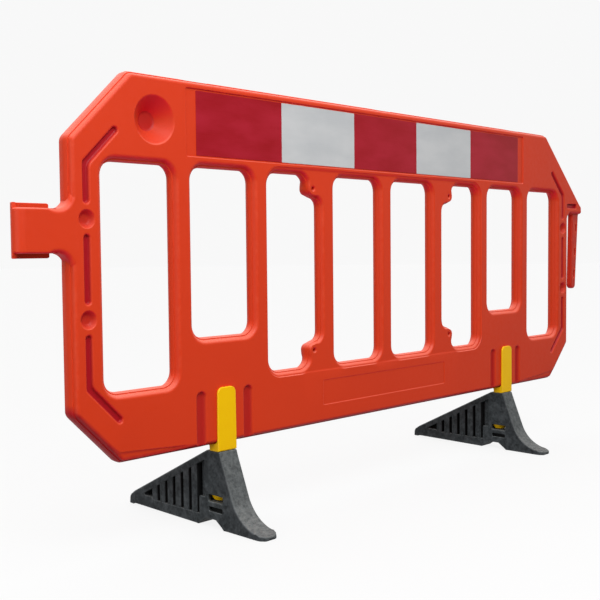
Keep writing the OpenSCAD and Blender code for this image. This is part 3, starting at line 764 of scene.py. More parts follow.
def window_corners(bay):
    """Corners of the window of a right-hand bay, counter-clockwise."""
    near = bay * BAY_PITCH - HALF_WINDOW
    far = bay * BAY_PITCH + HALF_WINDOW
    sill = RAISED_SILL if bay == CLIP_BAY else SILL
    if bay != EAR_BAY:
        return box_corners(near, far, sill, HEAD, WINDOW_R)
    ear = near + EAR_REACH
    return box_corners(ear, far, sill, HEAD, WINDOW_R) + [
        (ear, UPPER_EAR + EAR_SLOPE, EAR_R), (near, UPPER_EAR - EAR_SLOPE, EAR_IN),
        (near, LOWER_EAR + EAR_SLOPE, EAR_IN), (ear, LOWER_EAR - EAR_SLOPE, EAR_R)]


for bay in BAYS:
    lip = SUNK_LIP if bay in SUNK_BAYS else WINDOW_LIP
    corners = window_corners(bay)
    # A window runs clockwise, so that the material is on its left; a mirrored list already does
    loops.append(profiled(round_loop(corners[::-1], step=20.0), lip))
    loops.append(profiled(round_loop([(-x, z, r) for x, z, r in corners], step=20.0), lip))
for x in (-SCREW_X, SCREW_X):
    for z in SCREW_Z:
        loops.append(profiled(circle_loop(x, z, SCREW_R, clockwise=True), HOLE_LIP))
print("loops", len(loops))

# %% [markdown]
# The hollows are pressed into the face: bent channels and dimples on the end posts, the long recess that
# holds the sheets, a shallow bare plate, a deep conical dish at the left, and a notch in the lug. Each
# could be cut by a boolean, but its rim would stay sharp. So each is a loop again, with a wall profile
# that rounds its lip and its bottom.

# %% Walls of the hollows
# Each row is the way in from the lip, the drop below the face, the wear and the painted shade
CHANNEL_WALL = [(0, 0, 0, 0), (1.2, 0.05, 0.1, 0), (2.6, 0.5, 0.3, 0), (3.8, 1.5, 0.1, 0.2),
                (4.8, 3, 0, 0.6), (5.8, 5.2, 0, 1), (7.2, 6.6, 0, 1), (8.6, 7, 0, 1)]
DIMPLE_WALL = [(0, 0, 0, 0), (0.8, 0, 0.2, 0), (1.8, 0.5, 0.4, 0), (2.8, 1.6, 0.1, 0.2), (8, 7.2, 0, 0.5),
               (9.8, 8.9, 0, 0.5), (12, 9.8, 0, 0.5), (15, 10, 0, 0.5)]
LEDGE_WALL = [(0, 0, 0, 0), (0.8, 0, 0.1, 0), (1.3, 0.3, 0.3, 0), (1.7, 1, 0.2, 0), (2.1, 2.2, 0, 0),
              (2.7, 2.9, 0, 0), (3.4, 3, 0, 0)]
PLATE_WALL = [(0, 0, 0, 0), (0.6, 0.1, 0.2, 0), (1.2, 0.6, 0, 0), (1.8, 1.1, 0, 0), (2.6, 1.2, 0, 0)]
DISH_WALL = [(0, 0, 0, 0), (1.4, 0, 0.2, 0), (2.6, 0.5, 0.4, 0), (3.8, 1.6, 0.2, 0), (6, 3.8, 0, 0.12),
             (32, 30, 0, 0.12), (34.4, 32, 0, 0.7), (37, 32.9, 0, 0.7), (40, 33, 0, 0.7)]
NOTCH_WALL = [(0, 0, 0, 0), (1, 0.1, 0.3, 0), (2, 0.6, 0.3, 0), (2.9, 1.6, 0.1, 0.3), (3.4, 3.2, 0, 1),
              (4, 6.6, 0, 1), (4.9, 7.2, 0, 1)]
POST_X = 942.0
BEND_X = POST_X - 70.0
CHANNEL_HALF = 11.5
CHANNEL_BEND_R = 16.0
CHANNELS = ([(BEND_X, 687), (POST_X, 617), (POST_X, 544)], [(POST_X, 468), (POST_X, 342)],
            [(POST_X, 266), (POST_X, 164), (BEND_X, 94)])
DIMPLE_Z = (304.0, 506.0)
DIMPLE_R = 20.8
# Left, right, bottom, top and corner radius
STRIP_RECESS = (-689, 689, 644.5, 796.5, 7)
PLATE_RECESS = (-259.2, 259.2, 47.8, 113.2, 6)
LUG_NOTCH = (968, 1038, 572, 593, 9)
# Place and radius
DISH = (-771.0, 717.0, 54.6)
print("the dish is", DISH_WALL[-1][1], "mm deep")

# %% [markdown]
# The channels on the end posts could be drawn as long outlines. It is simpler to give each one a path
# down its middle: a function finds the corners on both sides of the path, with round ends and an eased
# bend. Both ends of the panel have the same hollows, mirrored, so a loop places them.

# %% Hollows in the face
def channel_corners(path):
    """Corners of a channel along two or three points, round at its ends and eased at its bend."""
    path = np.array(path, float)
    ways = [(b - a) / np.linalg.norm(b - a) for a, b in zip(path, path[1:])]
    lefts = [np.array((-w[1], w[0])) for w in ways]
    right_side = [path[0] - CHANNEL_HALF * (lefts[0] + ways[0])]
    left_side = [path[0] + CHANNEL_HALF * (lefts[0] - ways[0])]
    radii = [CHANNEL_HALF]
    if len(path) == 3:
        bend = (lefts[0] + lefts[1]) / (1 + lefts[0] @ lefts[1])
        right_side.append(path[1] - CHANNEL_HALF * bend)
        left_side.append(path[1] + CHANNEL_HALF * bend)
        radii.append(CHANNEL_BEND_R)
    right_side.append(path[-1] + CHANNEL_HALF * (ways[-1] - lefts[-1]))
    left_side.append(path[-1] + CHANNEL_HALF * (ways[-1] + lefts[-1]))
    radii.append(CHANNEL_HALF)
    corners = [(*p, r) for p, r in zip(right_side, radii)]
    return corners + [(*p, r) for p, r in zip(left_side[::-1], radii[::-1])]


hollows = []
for end in (-1, 1):
    for path in CHANNELS:
        corners = channel_corners([(end * x, z) for x, z in path])
        hollows.append(profiled(round_loop(corners, step=20.0), CHANNEL_WALL))
    for z in DIMPLE_Z:
        hollows.append(profiled(circle_loop(end * POST_X, z, DIMPLE_R), DIMPLE_WALL))
hollows.append(profiled(round_loop(box_corners(*STRIP_RECESS), step=60.0), LEDGE_WALL))
hollows.append(profiled(round_loop(box_corners(*PLATE_RECESS), step=60.0), PLATE_WALL, faces=(FRONT,)))
hollows.append(profiled(round_loop(box_corners(*LUG_NOTCH), step=12.0), NOTCH_WALL))
hollows.append(profiled(circle_loop(*DISH), DISH_WALL, faces=(FRONT,)))
print("hollows", len(hollows))

# %% [markdown]
# The channels beside the clips run out through the bottom edge, so they are not closed loops. Their walls
# start from points of the edge's last ring, climb, and turn over in a half circle, and the border of the
# flat face makes a detour round them.

# %% Channels beside the clips
CLIMB_Z = (48, 82)
ARCH_POINTS = 17
LIP_WEAR = 0.3
panel_shell = Shell()


def run_out_channels(border, side):
    """Builds the four channels and returns the border with their detours."""
    ring, numbers = border
    for cx in sorted(GROOVE_X):
        arches = []
        for off, height in GROOVE_WALL:
            feet = [int(np.argmin(np.hypot(ring[:, 0] - cx - s * off, ring[:, 1] - RIM_IN)))
                    for s in (-1, 1)]
            turns = np.linspace(0, math.pi, ARCH_POINTS)
            arc = [(cx - off * math.cos(a), GROOVE_TOP + off * math.sin(a)) for a in turns]
            climb = [(cx - off, z) for z in CLIMB_Z]
            path = np.array(climb + arc + [(cx + off, z) for z in CLIMB_Z[::-1]])
            wear = LIP_WEAR if HALF_T - 1 < height < HALF_T else 0.0
            middle = panel_shell.ring(on_panel(path, side * height), wear, groove_sunk(path))
            arches.append((feet, path, middle))
        for (feet_a, _, a), (feet_b, _, b) in zip(arches, arches[1:]):
            panel_shell.strip([numbers[feet_a[0]]] + a + [numbers[feet_a[1]]],
                              [numbers[feet_b[0]]] + b + [numbers[feet_b[1]]], closed=False)
        (start, stop), _, middle = arches[0]
        along_edge = [numbers[k] for k in range(stop, start, -1)]
        panel_shell.faces.append(tuple([numbers[start]] + middle + along_edge))
        (start, stop), path, middle = arches[-1]
        ring = np.concatenate((ring[:start + 1], path, ring[stop:]))
        numbers = numbers[:start + 1] + middle + numbers[stop:]
    return ring, numbers


print("channels at", GROOVE_X)

# %% [markdown]
# Where the face itself steps down, across the sunk bars and along the bottom rail's band, its triangles
# have to follow the step, or it would look torn. The fill takes extra lines for that; they join points
# that the rims already have.

# %% Steps on the face
inner_x = 0.5 * BAY_PITCH - HALF_WINDOW + WINDOW_R
near_x = 0.5 * BAY_PITCH + HALF_WINDOW - WINDOW_R
far_x = EAR_BAY * BAY_PITCH - HALF_WINDOW + EAR_REACH + WINDOW_R
STEP_SPANS = ((-far_x, -near_x), (-inner_x, inner_x), (near_x, far_x))


def step_lines(borders):
    """Lines on the face where its height steps, as pairs of point numbers."""
    flat = np.concatenate([b[0] for b in borders])
    numbers = np.array([n for b in borders for n in b[1]])

    def nearest(x, z):
        return int(numbers[np.argmin(np.hypot(flat[:, 0] - x, flat[:, 1] - z))])

    lines = []
    arc_r = WINDOW_R + WINDOW_IN
    for left, right in STEP_SPANS:
        for mid_z, up_down in ((HEAD - WINDOW_R, 1), (SILL + WINDOW_R, -1)):
            for turn_by in (ARC_STEP, 2 * ARC_STEP):
                dx, dz = arc_r * math.sin(turn_by), arc_r * math.cos(turn_by) * up_down
                lines.append((nearest(left + dx, mid_z + dz), nearest(right - dx, mid_z + dz)))
    for end in (-1, 1):
        for x, (end_x, end_z) in zip((BAND_TOP[0][0], BAND_FOOT), BAND_ENDS):
            lines.append((nearest(end * x, RIM_IN), nearest(end * end_x, end_z)))
    return lines


print("bars with steps span", STEP_SPANS)

# %% [markdown]
# The tongue at the left end is a plate that folds back on itself, so that the next panel's finger can
# drop into it. A bent plate with a bevel would do for the fold alone. It is swept along its plan instead,
# because its section changes: tall flap behind, bevelled plate in front, flared where it meets the end
# post.

# %% Tongue
TONGUE_Z = 480.0
PLATE_LOW = 42.0
PLATE_HIGH = 45.5
PLATE_BEVEL = 4.0
PLATE_END = -1060.0
FLAP_LOW = 51.5
FLAP_HIGH = 56.0
FLAP_BEVEL = 2.0
FLAP_MID = -1034.0
FLAP_END = -1009.0
# The flap's tip is lower by this much over this run
TIP_LESS = 1.5
TIP_RUN = 3.0
WALL_HALF = 4.5
EDGE_R = 1.6
FOLD_X = -1074.0
FOLD_R = 15.5
FILLET = 30.0
FILLET_X = -976.0 - FILLET
FLARE = 10.0
FLARE_DEPTH = 10.5
FLARE_X = np.linspace(FILLET_X - 4, FILLET_X - 38, 9)
ROOT_DEPTH = 30.0
# In the end post the first station lies just behind the panel's face, the others just in front
ROOT_X = [-964.0, -970.0, -973.0]
FACE_GAP = 0.05
# How far back and how far in the rows of the bevel lie, as shares of it
BEVEL_ROWS = ((0, 1), (0.06, 0.7), (0.26, 0.4), (0.55, 0.18))


def bevel_insets(bevel, past=0.0):
    """Ways in from the edge of the bevel's rows; past the fillet's start the rows follow its arc."""
    if past <= 0:
        return [bevel * way_in for _, way_in in BEVEL_ROWS]
    edge = math.sqrt(max(FILLET ** 2 - past ** 2, 0.0))
    reaches = [FILLET + bevel * way_in for _, way_in in BEVEL_ROWS]
    return [math.sqrt(max(reach ** 2 - past ** 2, 0.0)) - edge for reach in reaches]


def tongue_section(x, y, nx, ny, low, high, insets, deep, grown):
    """Closed section of the tongue's wall; towards the post it grows taller, and thicker inwards."""
    root = WALL_HALF + (ROOT_DEPTH - WALL_HALF) * min(1.0, grown / 0.6)
    edge = [(WALL_HALF, -insets[0] - 3)]
    edge += [(WALL_HALF - deep * share, -inset) for (share, _), inset in zip(BEVEL_ROWS, insets)]
    edge += [(WALL_HALF - deep, 0), (EDGE_R - root, 0), (0.3 * EDGE_R - root, -0.3 * EDGE_R)]
    edge += [(-root, -EDGE_R), (-root, -EDGE_R - 0.6 * grown), (-WALL_HALF, -EDGE_R - 0.9 * grown)]
    rows = [(t, high + h) for t, h in edge] + [(t, -low - h) for t, h in edge[::-1]]
    return on_panel(np.array([(x + nx * t, TONGUE_Z + h) for t, h in rows]), [y + ny * t for t, _ in rows])


print("tongue wall", 2 * WALL_HALF, "mm thick")

# %% [markdown]
# The sections follow the plan of the tongue from the end post outwards, round the fold and back along the
# flap. A curve with a bevel object would space them evenly; a list of stations lets them lie closer where
# the shape changes faster, in the fillet at the post and in the fold.

# %% Sweeping the tongue
stations = []
fillet_x = [FILLET_X + FILLET * math.sin(math.radians(a)) for a in range(90, -1, -6)]
for x in ROOT_X + fillet_x + list(FLARE_X) + [PLATE_END]:
    past = x - FILLET_X
    grown = FILLET - math.sqrt(max(FILLET ** 2 - max(past, 0.0) ** 2, 0.0))
    bevel = math.sqrt(max((FILLET + FLARE) ** 2 - min(past, 0.0) ** 2, 0.0)) - FILLET
    bevel = max(PLATE_BEVEL, bevel)
    deep = PLATE_BEVEL + (FLARE_DEPTH - PLATE_BEVEL) * (bevel - PLATE_BEVEL) / (FLARE - PLATE_BEVEL)
    front = (FACE_GAP if x == ROOT_X[0] else -FACE_GAP) - FOLD_R
    stations.append((x, front, 0.0, -1.0, PLATE_LOW + grown, PLATE_HIGH + grown, bevel_insets(bevel, past),
                     deep, grown))
for a in np.concatenate((np.linspace(0, 84, 10), np.linspace(90, 180, 11))):
    c, s = math.cos(math.radians(a)), math.sin(math.radians(a))
    low, high, bevel = (PLATE_LOW, PLATE_HIGH, PLATE_BEVEL) if a < 89 else (FLAP_LOW, FLAP_HIGH, FLAP_BEVEL)
    stations.append((FOLD_X - FOLD_R * s, -FOLD_R * c, -s, -c, low, high, bevel_insets(bevel), bevel, 0.0))
for x, less in ((PLATE_END, 0.0), (FLAP_MID, 0.0), (FLAP_END - TIP_RUN, 0.0), (FLAP_END, TIP_LESS)):
    stations.append((x, FOLD_R, 0.0, 1.0, FLAP_LOW - less, FLAP_HIGH - less, bevel_insets(FLAP_BEVEL),
                     FLAP_BEVEL, 0.0))
panel_shell.lathe([panel_shell.ring(tongue_section(*station)) for station in stations])
print("tongue stations", len(stations))

# %% [markdown]
# The finger hangs from the lug at the other end and drops into the next panel's tongue. It could be a
# bevelled box, but it tapers and has moulded dents, so it is a small plate with the same kind of ringed
# edge. With it the panel is complete, and all its shells become one mesh.

# %% Finger, and the whole panel
FINGER_EDGE = [(0, 0, 0), (0.3, 5, 0), (0.9, 7.2, 0.4), (1.9, 8.4, 0.8), (3.4, 9, 0.3), (5, 9, 0)]
FINGER_HALF = 9.0
# Painted shade: the whole finger is tinted a little towards the darker crimson
FINGER_SHADE = 0.4
FINGER_CORNERS = [(1018.5, 298, 15), (1049.5, 298, 15), (1069.5, 566, 2), (1026.5, 566, 2)]
DENTS = ((1052, 508), (1046, 426), (1040, 350))
DENT_HALF = (6, 15)
DENT_R = 5.5
finger = profiled(round_loop(FINGER_CORNERS, step=14.0), FINGER_EDGE, sunk=lambda q: FINGER_SHADE)
dents = []
for x, z in DENTS:
    corners = box_corners(x - DENT_HALF[0], x + DENT_HALF[0], z - DENT_HALF[1], z + DENT_HALF[1], DENT_R)
    dents.append(profiled(round_loop(corners, step=8.0), NOTCH_WALL))
plate(panel_shell, [finger], dents, even_level, on_panel, FINGER_HALF)
plate(panel_shell, loops, hollows, panel_level, on_panel, HALF_T, splice=run_out_channels, lines=step_lines)
panel = panel_shell.build("panel_moulding", panel_plastic)
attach(panel, "panel")
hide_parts("panel")

# %% [markdown]
# The strip is five self-adhesive retroreflective sheets. The real ones have tiny sealed cells under a
# clear face; seen from the side they look flat and slightly milky, with a soft gloss on top. True
# retroreflection needs a light at the eye, so the finish only draws what daylight shows. Red and white
# share one function.

# %% Sheet finishes
def sheet_finish(name, body, cell_tint):
    """Milky film over cells: an even colour, faintly netted, with flat smears and a soft gloss."""
    material, tree, output = start_material(name)
    where = add_node(tree, "ShaderNodeTexCoord").outputs["Object"]
    # Cells are about 3 mm on the real sheeting; they are drawn at 5 mm so that they show
    cells = add_node(tree, "ShaderNodeTexVoronoi", {
        "Vector": where, "Scale": per_metre(5), "Randomness": 0.15}, feature="DISTANCE_TO_EDGE")
    walls = add_node(tree, "ShaderNodeMapRange", {
        "Value": cells.outputs[0], "From Min": 0.0, "From Max": 0.12, "To Min": 0.35, "To Max": 0.0})
    # Wiped dirt lies in flat smears along the strip
    along_strip = add_node(tree, "ShaderNodeVectorMath", {
        0: where, 1: (1.0, 1.0, 3.0)}, operation="MULTIPLY")
    cloud = add_node(tree, "ShaderNodeTexNoise", {
        "Vector": along_strip.outputs[0], "Scale": per_metre(130), "Detail": 5.0})
    smears = add_node(tree, "ShaderNodeMapRange", {
        "Value": cloud.outputs[0], "From Min": 0.35, "From Max": 0.65, "To Min": 0.0, "To Max": 1.0})
    milky = add_node(tree, "ShaderNodeMix", {
        0: smears.outputs[0], MIX_A: linear(body), MIX_B: linear(cell_tint)}, data_type="RGBA")
    face = add_node(tree, "ShaderNodeMix", {
        0: walls.outputs[0], MIX_A: milky.outputs[MIX_OUT], MIX_B: linear(cell_tint)}, data_type="RGBA")
    relief = add_node(tree, "ShaderNodeBump", {
        "Height": walls.outputs[0], "Strength": 0.05, "Distance": 0.0003})
    film = add_node(tree, "ShaderNodeBsdfPrincipled", {
        "Base Color": face.outputs[MIX_OUT], "Roughness": 0.35, "IOR": 1.49, "Specular IOR Level": 0.22,
        "Normal": relief.outputs[0]})
    tree.links.new(film.outputs[0], output.inputs[0])
    print(name, len(tree.nodes), "nodes")
    return material


red_sheet = sheet_finish("red_retroreflective_film", "#960C18", "#A61B2C")
white_sheet = sheet_finish("white_retroreflective_film", "#B7B9BB", "#C2C3C4")

# %% [markdown]
# Each sheet is cut to length and stuck in the recess, edge to edge with the next. A flat plane would do
# for the front view, but a thin plate with a softened edge catches the light as real sheeting does. The
# frame gives each one's place, so a loop makes all five.

# %% Sheets
SHEET_EDGE = [(0, 0, 0), (0, 0.25, 0), (0.15, 0.42, 0), (0.45, 0.5, 0), (1.2, 0.5, 0)]
SHEET_HALF = 0.5
SHEET_GAP = 0.1
SHEET_R = 2.0


def on_strip(mid_y):
    """Places points of the strip at a depth from mid_y."""
    return lambda q, y: np.column_stack((q[:, 0], np.broadcast_to(y, len(q)) + mid_y, q[:, 1]))


for name in ("red_left", "white_left", "red_centre", "white_right", "red_right"):
    node = "reflective_" + name
    low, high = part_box(node)
    shell = Shell()
    corners = box_corners(low.x / MM + SHEET_GAP, high.x / MM - SHEET_GAP, low.z / MM, high.z / MM, SHEET_R)
    plate(shell, [profiled(round_loop(corners, step=40.0), SHEET_EDGE)], [], even_level,
          on_strip((low.y + high.y) / 2 / MM), SHEET_HALF)
    finish = red_sheet if name.startswith("red") else white_sheet
    sheet = shell.build("sheet_" + name, finish)
    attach(sheet, "panel")
    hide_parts(node)

# %% [markdown]
# The clips are yellow injection-moulded polypropylene. It comes from a polished mould, so it is smoother
# than the panel, with an even colour that goes paler on rubbed edges. One plain shader would look like
# paint; a faint cloud in the colour and a very fine grain make it look moulded.

# %% Clip finish
# Smooth moulded plastic: a clear yellow with tighter highlights than the panel's
clip_plastic, tree, output = start_material("yellow_polypropylene")
where = add_node(tree, "ShaderNodeTexCoord").outputs["Object"]
cloud = add_node(tree, "ShaderNodeTexNoise", {"Vector": where, "Scale": per_metre(35), "Detail": 3.0})
tone = add_node(tree, "ShaderNodeMix", {
    0: cloud.outputs[0], MIX_A: linear("#F0B800"), MIX_B: linear("#F4C202")}, data_type="RGBA")
rubbed = add_node(tree, "ShaderNodeAttribute", attribute_name="wear")
paler = add_node(tree, "ShaderNodeMath", {0: rubbed.outputs["Fac"], 1: 0.35}, operation="MULTIPLY")
face = add_node(tree, "ShaderNodeMix", {
    0: paler.outputs[0], MIX_A: tone.outputs[MIX_OUT], MIX_B: linear("#F8D24A")}, data_type="RGBA")
grain = add_node(tree, "ShaderNodeTexNoise", {"Vector": where, "Scale": per_metre(2), "Detail": 2.0})
fine = add_node(tree, "ShaderNodeBump", {"Height": grain.outputs[0], "Strength": 0.05, "Distance": 0.0005})
resin = add_node(tree, "ShaderNodeBsdfPrincipled", {
    "Base Color": face.outputs[MIX_OUT], "Roughness": 0.35, "IOR": 1.49, "Specular IOR Level": 0.2,
    "Normal": fine.outputs[0]})
tree.links.new(resin.outputs[0], output.inputs[0])
print(clip_plastic.name, len(tree.nodes), "nodes")

# %% [markdown]
# A clip straddles the bottom rail and carries a stem that snaps into the foot. From the side it is a U,
# so it is a plate across the panel's length, narrowed at the arms' tops; three bevelled boxes would show
# their joins. The stem is a stack of round rings with a barb near its end.

# %% Clip sizes and round stem
CLIP_HALF = 28.0
CLIP_H = 147.0
CLIP_TAPER = 1.3
CLIP_EDGE = [(0, 0, 0), (0, 14, 0), (0, 25.8, 0), (0.35, 27, 0.5), (1, 27.7, 1), (1.9, 28, 0.5),
             (2.5, 28, 0)]
ARM_OUT = 26.0
ARM_IN = 20.0
ARM_R = 15.0
# Extra points below an arm's top, where it narrows
ARM_ROWS = (16, 14, 12, 10, 8, 6, 4.5, 3)
BASE_T = 18.0
# The base is stepped at the rear: place, height and radius
BASE_REAR = ((6, 0, 2), (7, 12, 2), (ARM_OUT, 15, 4))
ROUND_PARTS = 48
# Each row is a radius and a height
STEM_ROWS = ((15.6, 63.0), (17.0, 64.2), (21.6, 74.6), (22.0, 75.3), (21.6, 75.7),
             (17.0, 75.7), (17.0, 182.0))


def across(mid_x):
    """Places points of a side view at a width from mid_x."""
    return lambda q, x: np.column_stack((np.broadcast_to(x, len(q)) + mid_x, q[:, 0] + panel_y, q[:, 1]))


def narrowed(half_width, full):
    """A level for a plate whose half width changes; the middle of the edge stays in the middle."""
    return lambda q, height: np.maximum(0.0, half_width(q) - full + height) * (height > 0)


def turned_stack(shell, mid_x, rows):
    """Closed round rings on the swivel's axis."""
    a = np.arange(ROUND_PARTS) * 2 * math.pi / ROUND_PARTS
    rings = [np.column_stack((mid_x + r * np.cos(a), panel_y + r * np.sin(a), np.full(ROUND_PARTS, z)))
             for r, z in rows]
    shell.lathe([shell.ring(ring) for ring in rings])


print("stem", 2 * STEM_ROWS[-1][0], "mm across")

# %% [markdown]
# The U is one closed outline: along the base, up one arm, over its top, down to the seat and the same on
# the other side. Extra points near the top of each arm let its sides round over where the plate narrows.
# Both clips are alike, so one function makes them at the places that the frame gives.

# %% Clips
def clip_piece(node):
    """One saddle clip: arms, base and stem."""
    low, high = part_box(node)
    mid_x = (low.x + high.x) / 2 / MM
    top = high.z / MM
    base = top - CLIP_H
    seat = base + BASE_T

    def half_width(q):
        arm = np.clip(q[:, 1] - (top - ARM_R), 0, ARM_R)
        return CLIP_HALF - CLIP_TAPER * (q[:, 1] - base) / CLIP_H - ARM_R + np.sqrt(ARM_R ** 2 - arm ** 2)

    def climb(y):
        return [(y, top - k, 0) for k in ARM_ROWS]

    corners = [(-ARM_OUT, base, 4)] + [(y, base + z, r) for y, z, r in BASE_REAR]
    corners += climb(ARM_OUT) + [(ARM_OUT, top, 2), (ARM_IN, top, 2)] + climb(ARM_IN)[::-1]
    corners += [(ARM_IN, seat, 9), (-ARM_IN, seat, 9)]
    corners += climb(-ARM_IN) + [(-ARM_IN, top, 2), (-ARM_OUT, top, 2)] + climb(-ARM_OUT)[::-1]
    shell = Shell()
    plate(shell, [profiled(round_loop(corners, step=14.0), CLIP_EDGE)], [], narrowed(half_width, CLIP_HALF),
          across(mid_x), CLIP_HALF)
    turned_stack(shell, mid_x, STEM_ROWS)
    clip = shell.build(node + "_saddle", clip_plastic)
    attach(clip, "panel")
    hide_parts(node)


for node in ("clip_left", "clip_right"):
    clip_piece(node)

# %% [markdown]
# The feet are moulded from recycled rubber crumb. Close up the surface is a mottled charcoal of pressed
# grains, paler where they are rubbed, dusty on what faces up, and quite rough. Real crumbs could be
# scattered as tiny meshes; a cell pattern with a bump gives the same look at this distance for far less
# work.

# %% Foot finish
# Pressed rubber crumb: a dull charcoal, speckled and dusty, almost without highlights
foot_rubber, tree, output = start_material("pressed_rubber_crumb")
where = add_node(tree, "ShaderNodeTexCoord").outputs["Object"]
# Crumbs are 2 to 4 mm; they are drawn at 6 mm so that they show
crumbs = add_node(tree, "ShaderNodeTexVoronoi", {"Vector": where, "Scale": per_metre(6)})
mottle = add_node(tree, "ShaderNodeTexNoise", {"Vector": where, "Scale": per_metre(18), "Detail": 5.0})
speck = add_node(tree, "ShaderNodeMix", {
    0: crumbs.outputs["Color"], MIX_A: linear("#1B1F21"), MIX_B: linear("#363B3E")}, data_type="RGBA")
blotch = add_node(tree, "ShaderNodeMapRange", {
    "Value": mottle.outputs[0], "From Min": 0.45, "From Max": 0.75, "To Min": 0.0, "To Max": 0.7})
rubber_tone = add_node(tree, "ShaderNodeMix", {
    0: blotch.outputs[0], MIX_A: speck.outputs[MIX_OUT], MIX_B: linear("#505457")}, data_type="RGBA")
rubbed = add_node(tree, "ShaderNodeAttribute", attribute_name="wear")
grey = add_node(tree, "ShaderNodeMath", {0: rubbed.outputs["Fac"], 1: 0.4}, operation="MULTIPLY")
rubber_face = add_node(tree, "ShaderNodeMix", {
    0: grey.outputs[0], MIX_A: rubber_tone.outputs[MIX_OUT], MIX_B: linear("#6A6E70")}, data_type="RGBA")
print("nodes of the rubber's colour", len(tree.nodes))

# %% [markdown]
# Road dust settles on what faces the sky; on faces that look forward the same paler grey is painted
# sheen. The slots between the ribs get painted shade, near black. It could be a second material, but a mix
# that reads the direction of the surface and the stored shade number puts both in place without a seam.

# %% Dust on the feet
normal = add_node(tree, "ShaderNodeNewGeometry").outputs["Normal"]
# Partly dust, partly painted sheen: faces that look up or forward go a paler grey
facing = add_node(tree, "ShaderNodeVectorMath", {0: normal, 1: (0.0, -0.5, 0.87)}, operation="DOT_PRODUCT")
dust_and_sheen_facing = add_node(tree, "ShaderNodeMapRange", {
    "Value": facing.outputs["Value"], "From Min": 0.45, "From Max": 0.98, "To Min": 0.0, "To Max": 1.0})
swept = add_node(tree, "ShaderNodeTexNoise", {
    "Vector": where, "Scale": per_metre(9), "Detail": 8.0, "Roughness": 0.75})
patchy = add_node(tree, "ShaderNodeMapRange", {
    "Value": swept.outputs[0], "From Min": 0.36, "From Max": 0.64, "To Min": 0.25, "To Max": 1.0})
dust_and_sheen_amount = add_node(tree, "ShaderNodeMath", {0: dust_and_sheen_facing.outputs[0], 1: patchy.outputs[0]}, operation="MULTIPLY")
dust_and_sheen = add_node(tree, "ShaderNodeMix", {
    0: dust_and_sheen_amount.outputs[0], MIX_A: rubber_face.outputs[MIX_OUT], MIX_B: linear("#6C6F6E")}, data_type="RGBA")
sunk_in = add_node(tree, "ShaderNodeAttribute", attribute_name="sunk")
# Painted shade: slots, pocket walls and the ribs' sides go near black by the stored shade number
shade = add_node(tree, "ShaderNodeMix", {
    0: sunk_in.outputs["Fac"], MIX_A: dust_and_sheen.outputs[MIX_OUT], MIX_B: linear("#0C0D0E")}, data_type="RGBA")
lumps = add_node(tree, "ShaderNodeBump", {
    "Height": crumbs.outputs["Distance"], "Strength": 0.35, "Distance": 0.0012})
rubber = add_node(tree, "ShaderNodeBsdfPrincipled", {
    "Base Color": shade.outputs[MIX_OUT], "Roughness": 0.72, "IOR": 1.52, "Specular IOR Level": 0.3,
    "Normal": lumps.outputs[0]})
tree.links.new(rubber.outputs[0], output.inputs[0])
print(foot_rubber.name, len(tree.nodes), "nodes")

# %% [markdown]
# A foot is a thick plate seen from the side: a ribbed wedge behind, a hollow-curved toe in front, a
# tunnel below. It could be sculpted, but its side view is a drawing of lines and arcs, so it is drawn.
# Its pocket is one hollow; the ribs that stand in it come in the next steps.

# %% Foot sizes
FOOT_HALF = 27.0
FOOT_H = 178.0
TAIL = 322.0
TOE = 168.0
TAIL_R = 20.0
TAIL_H = 12.0
TOP_BACK = 18.0
LEAN = math.radians(21.8)
TOE_CURVE = 100.0
TOE_FALL = math.radians(8)
TOE_ROUND = 22.0
TOE_T = 9.3
TOE_TIP_R = 4.4
# Where the toe's curve ends, in from the tip and up
CURVE_END = (22.0, 14.0)
TUNNEL = [(-38, 0, 2), (-10, 19, 5), (24, 19, 5), (52, 0, 2)]
TAIL_NICK = [(304, 2.6, 1), (308, 0, 1)]
tail_run = np.array((TAIL - TAIL_R - TOP_BACK, TAIL_H - FOOT_H))
slope_a = math.atan2(tail_run[1], tail_run[0]) + math.asin(TAIL_R / np.linalg.norm(tail_run))


def slope_z(y):
    """Height of the rear slope at the distance y behind the swivel."""
    return FOOT_H + (y - TOP_BACK) * math.tan(slope_a)


curve_end = np.array((CURVE_END[0] - TOE, CURVE_END[1]))
curve_c = curve_end + TOE_CURVE * np.array((-math.sin(TOE_FALL), math.cos(TOE_FALL)))
face_low = curve_c + TOE_CURVE * np.array((math.cos(LEAN), -math.sin(LEAN)))
face_top = face_low[0] + (FOOT_H - face_low[1]) * math.tan(LEAN)
foot_outline = [(TAIL, 0, 3), (TAIL, TAIL_H + 9, 16), (TAIL - TAIL_R, slope_z(TAIL - TAIL_R), 14),
                (TOP_BACK, FOOT_H, 5), (face_top, FOOT_H, 3)]
for a in np.linspace(-LEAN, TOE_FALL - math.pi / 2, 14):
    spot = curve_c + TOE_CURVE * np.array((math.cos(a), math.sin(a)))
    foot_outline.append((*spot, 0.5))
foot_outline += [(-TOE, TOE_T, TOE_TIP_R), (-TOE, 0, TOE_TIP_R)] + TUNNEL + TAIL_NICK
print("foot slope", round(math.degrees(slope_a), 2), "degrees")

# %% [markdown]
# The foot's sides have a deep pocket for the ribs, a window that shows the stem's barb, and a recess
# below it. In the pocket a shoulder stands before the first rib. These are loops and hollows again, so
# they only need their corners and their walls.

# %% Hollows of the foot
# Way in from the middle plane, height and wear
FOOT_EDGE = [(0, 0, 0), (0, 12, 0), (0, 23.4, 0), (0.25, 24.9, 0.3), (1, 26.1, 0.7), (2.1, 26.8, 0.6),
             (3.5, 27, 0.2), (5, 27, 0)]
WINDOW_EDGE = [(0, 0, 0), (0, 12, 0), (0, 24.6, 0), (0.5, 26.2, 0.3), (1.6, 27, 0.2), (3, 27, 0)]
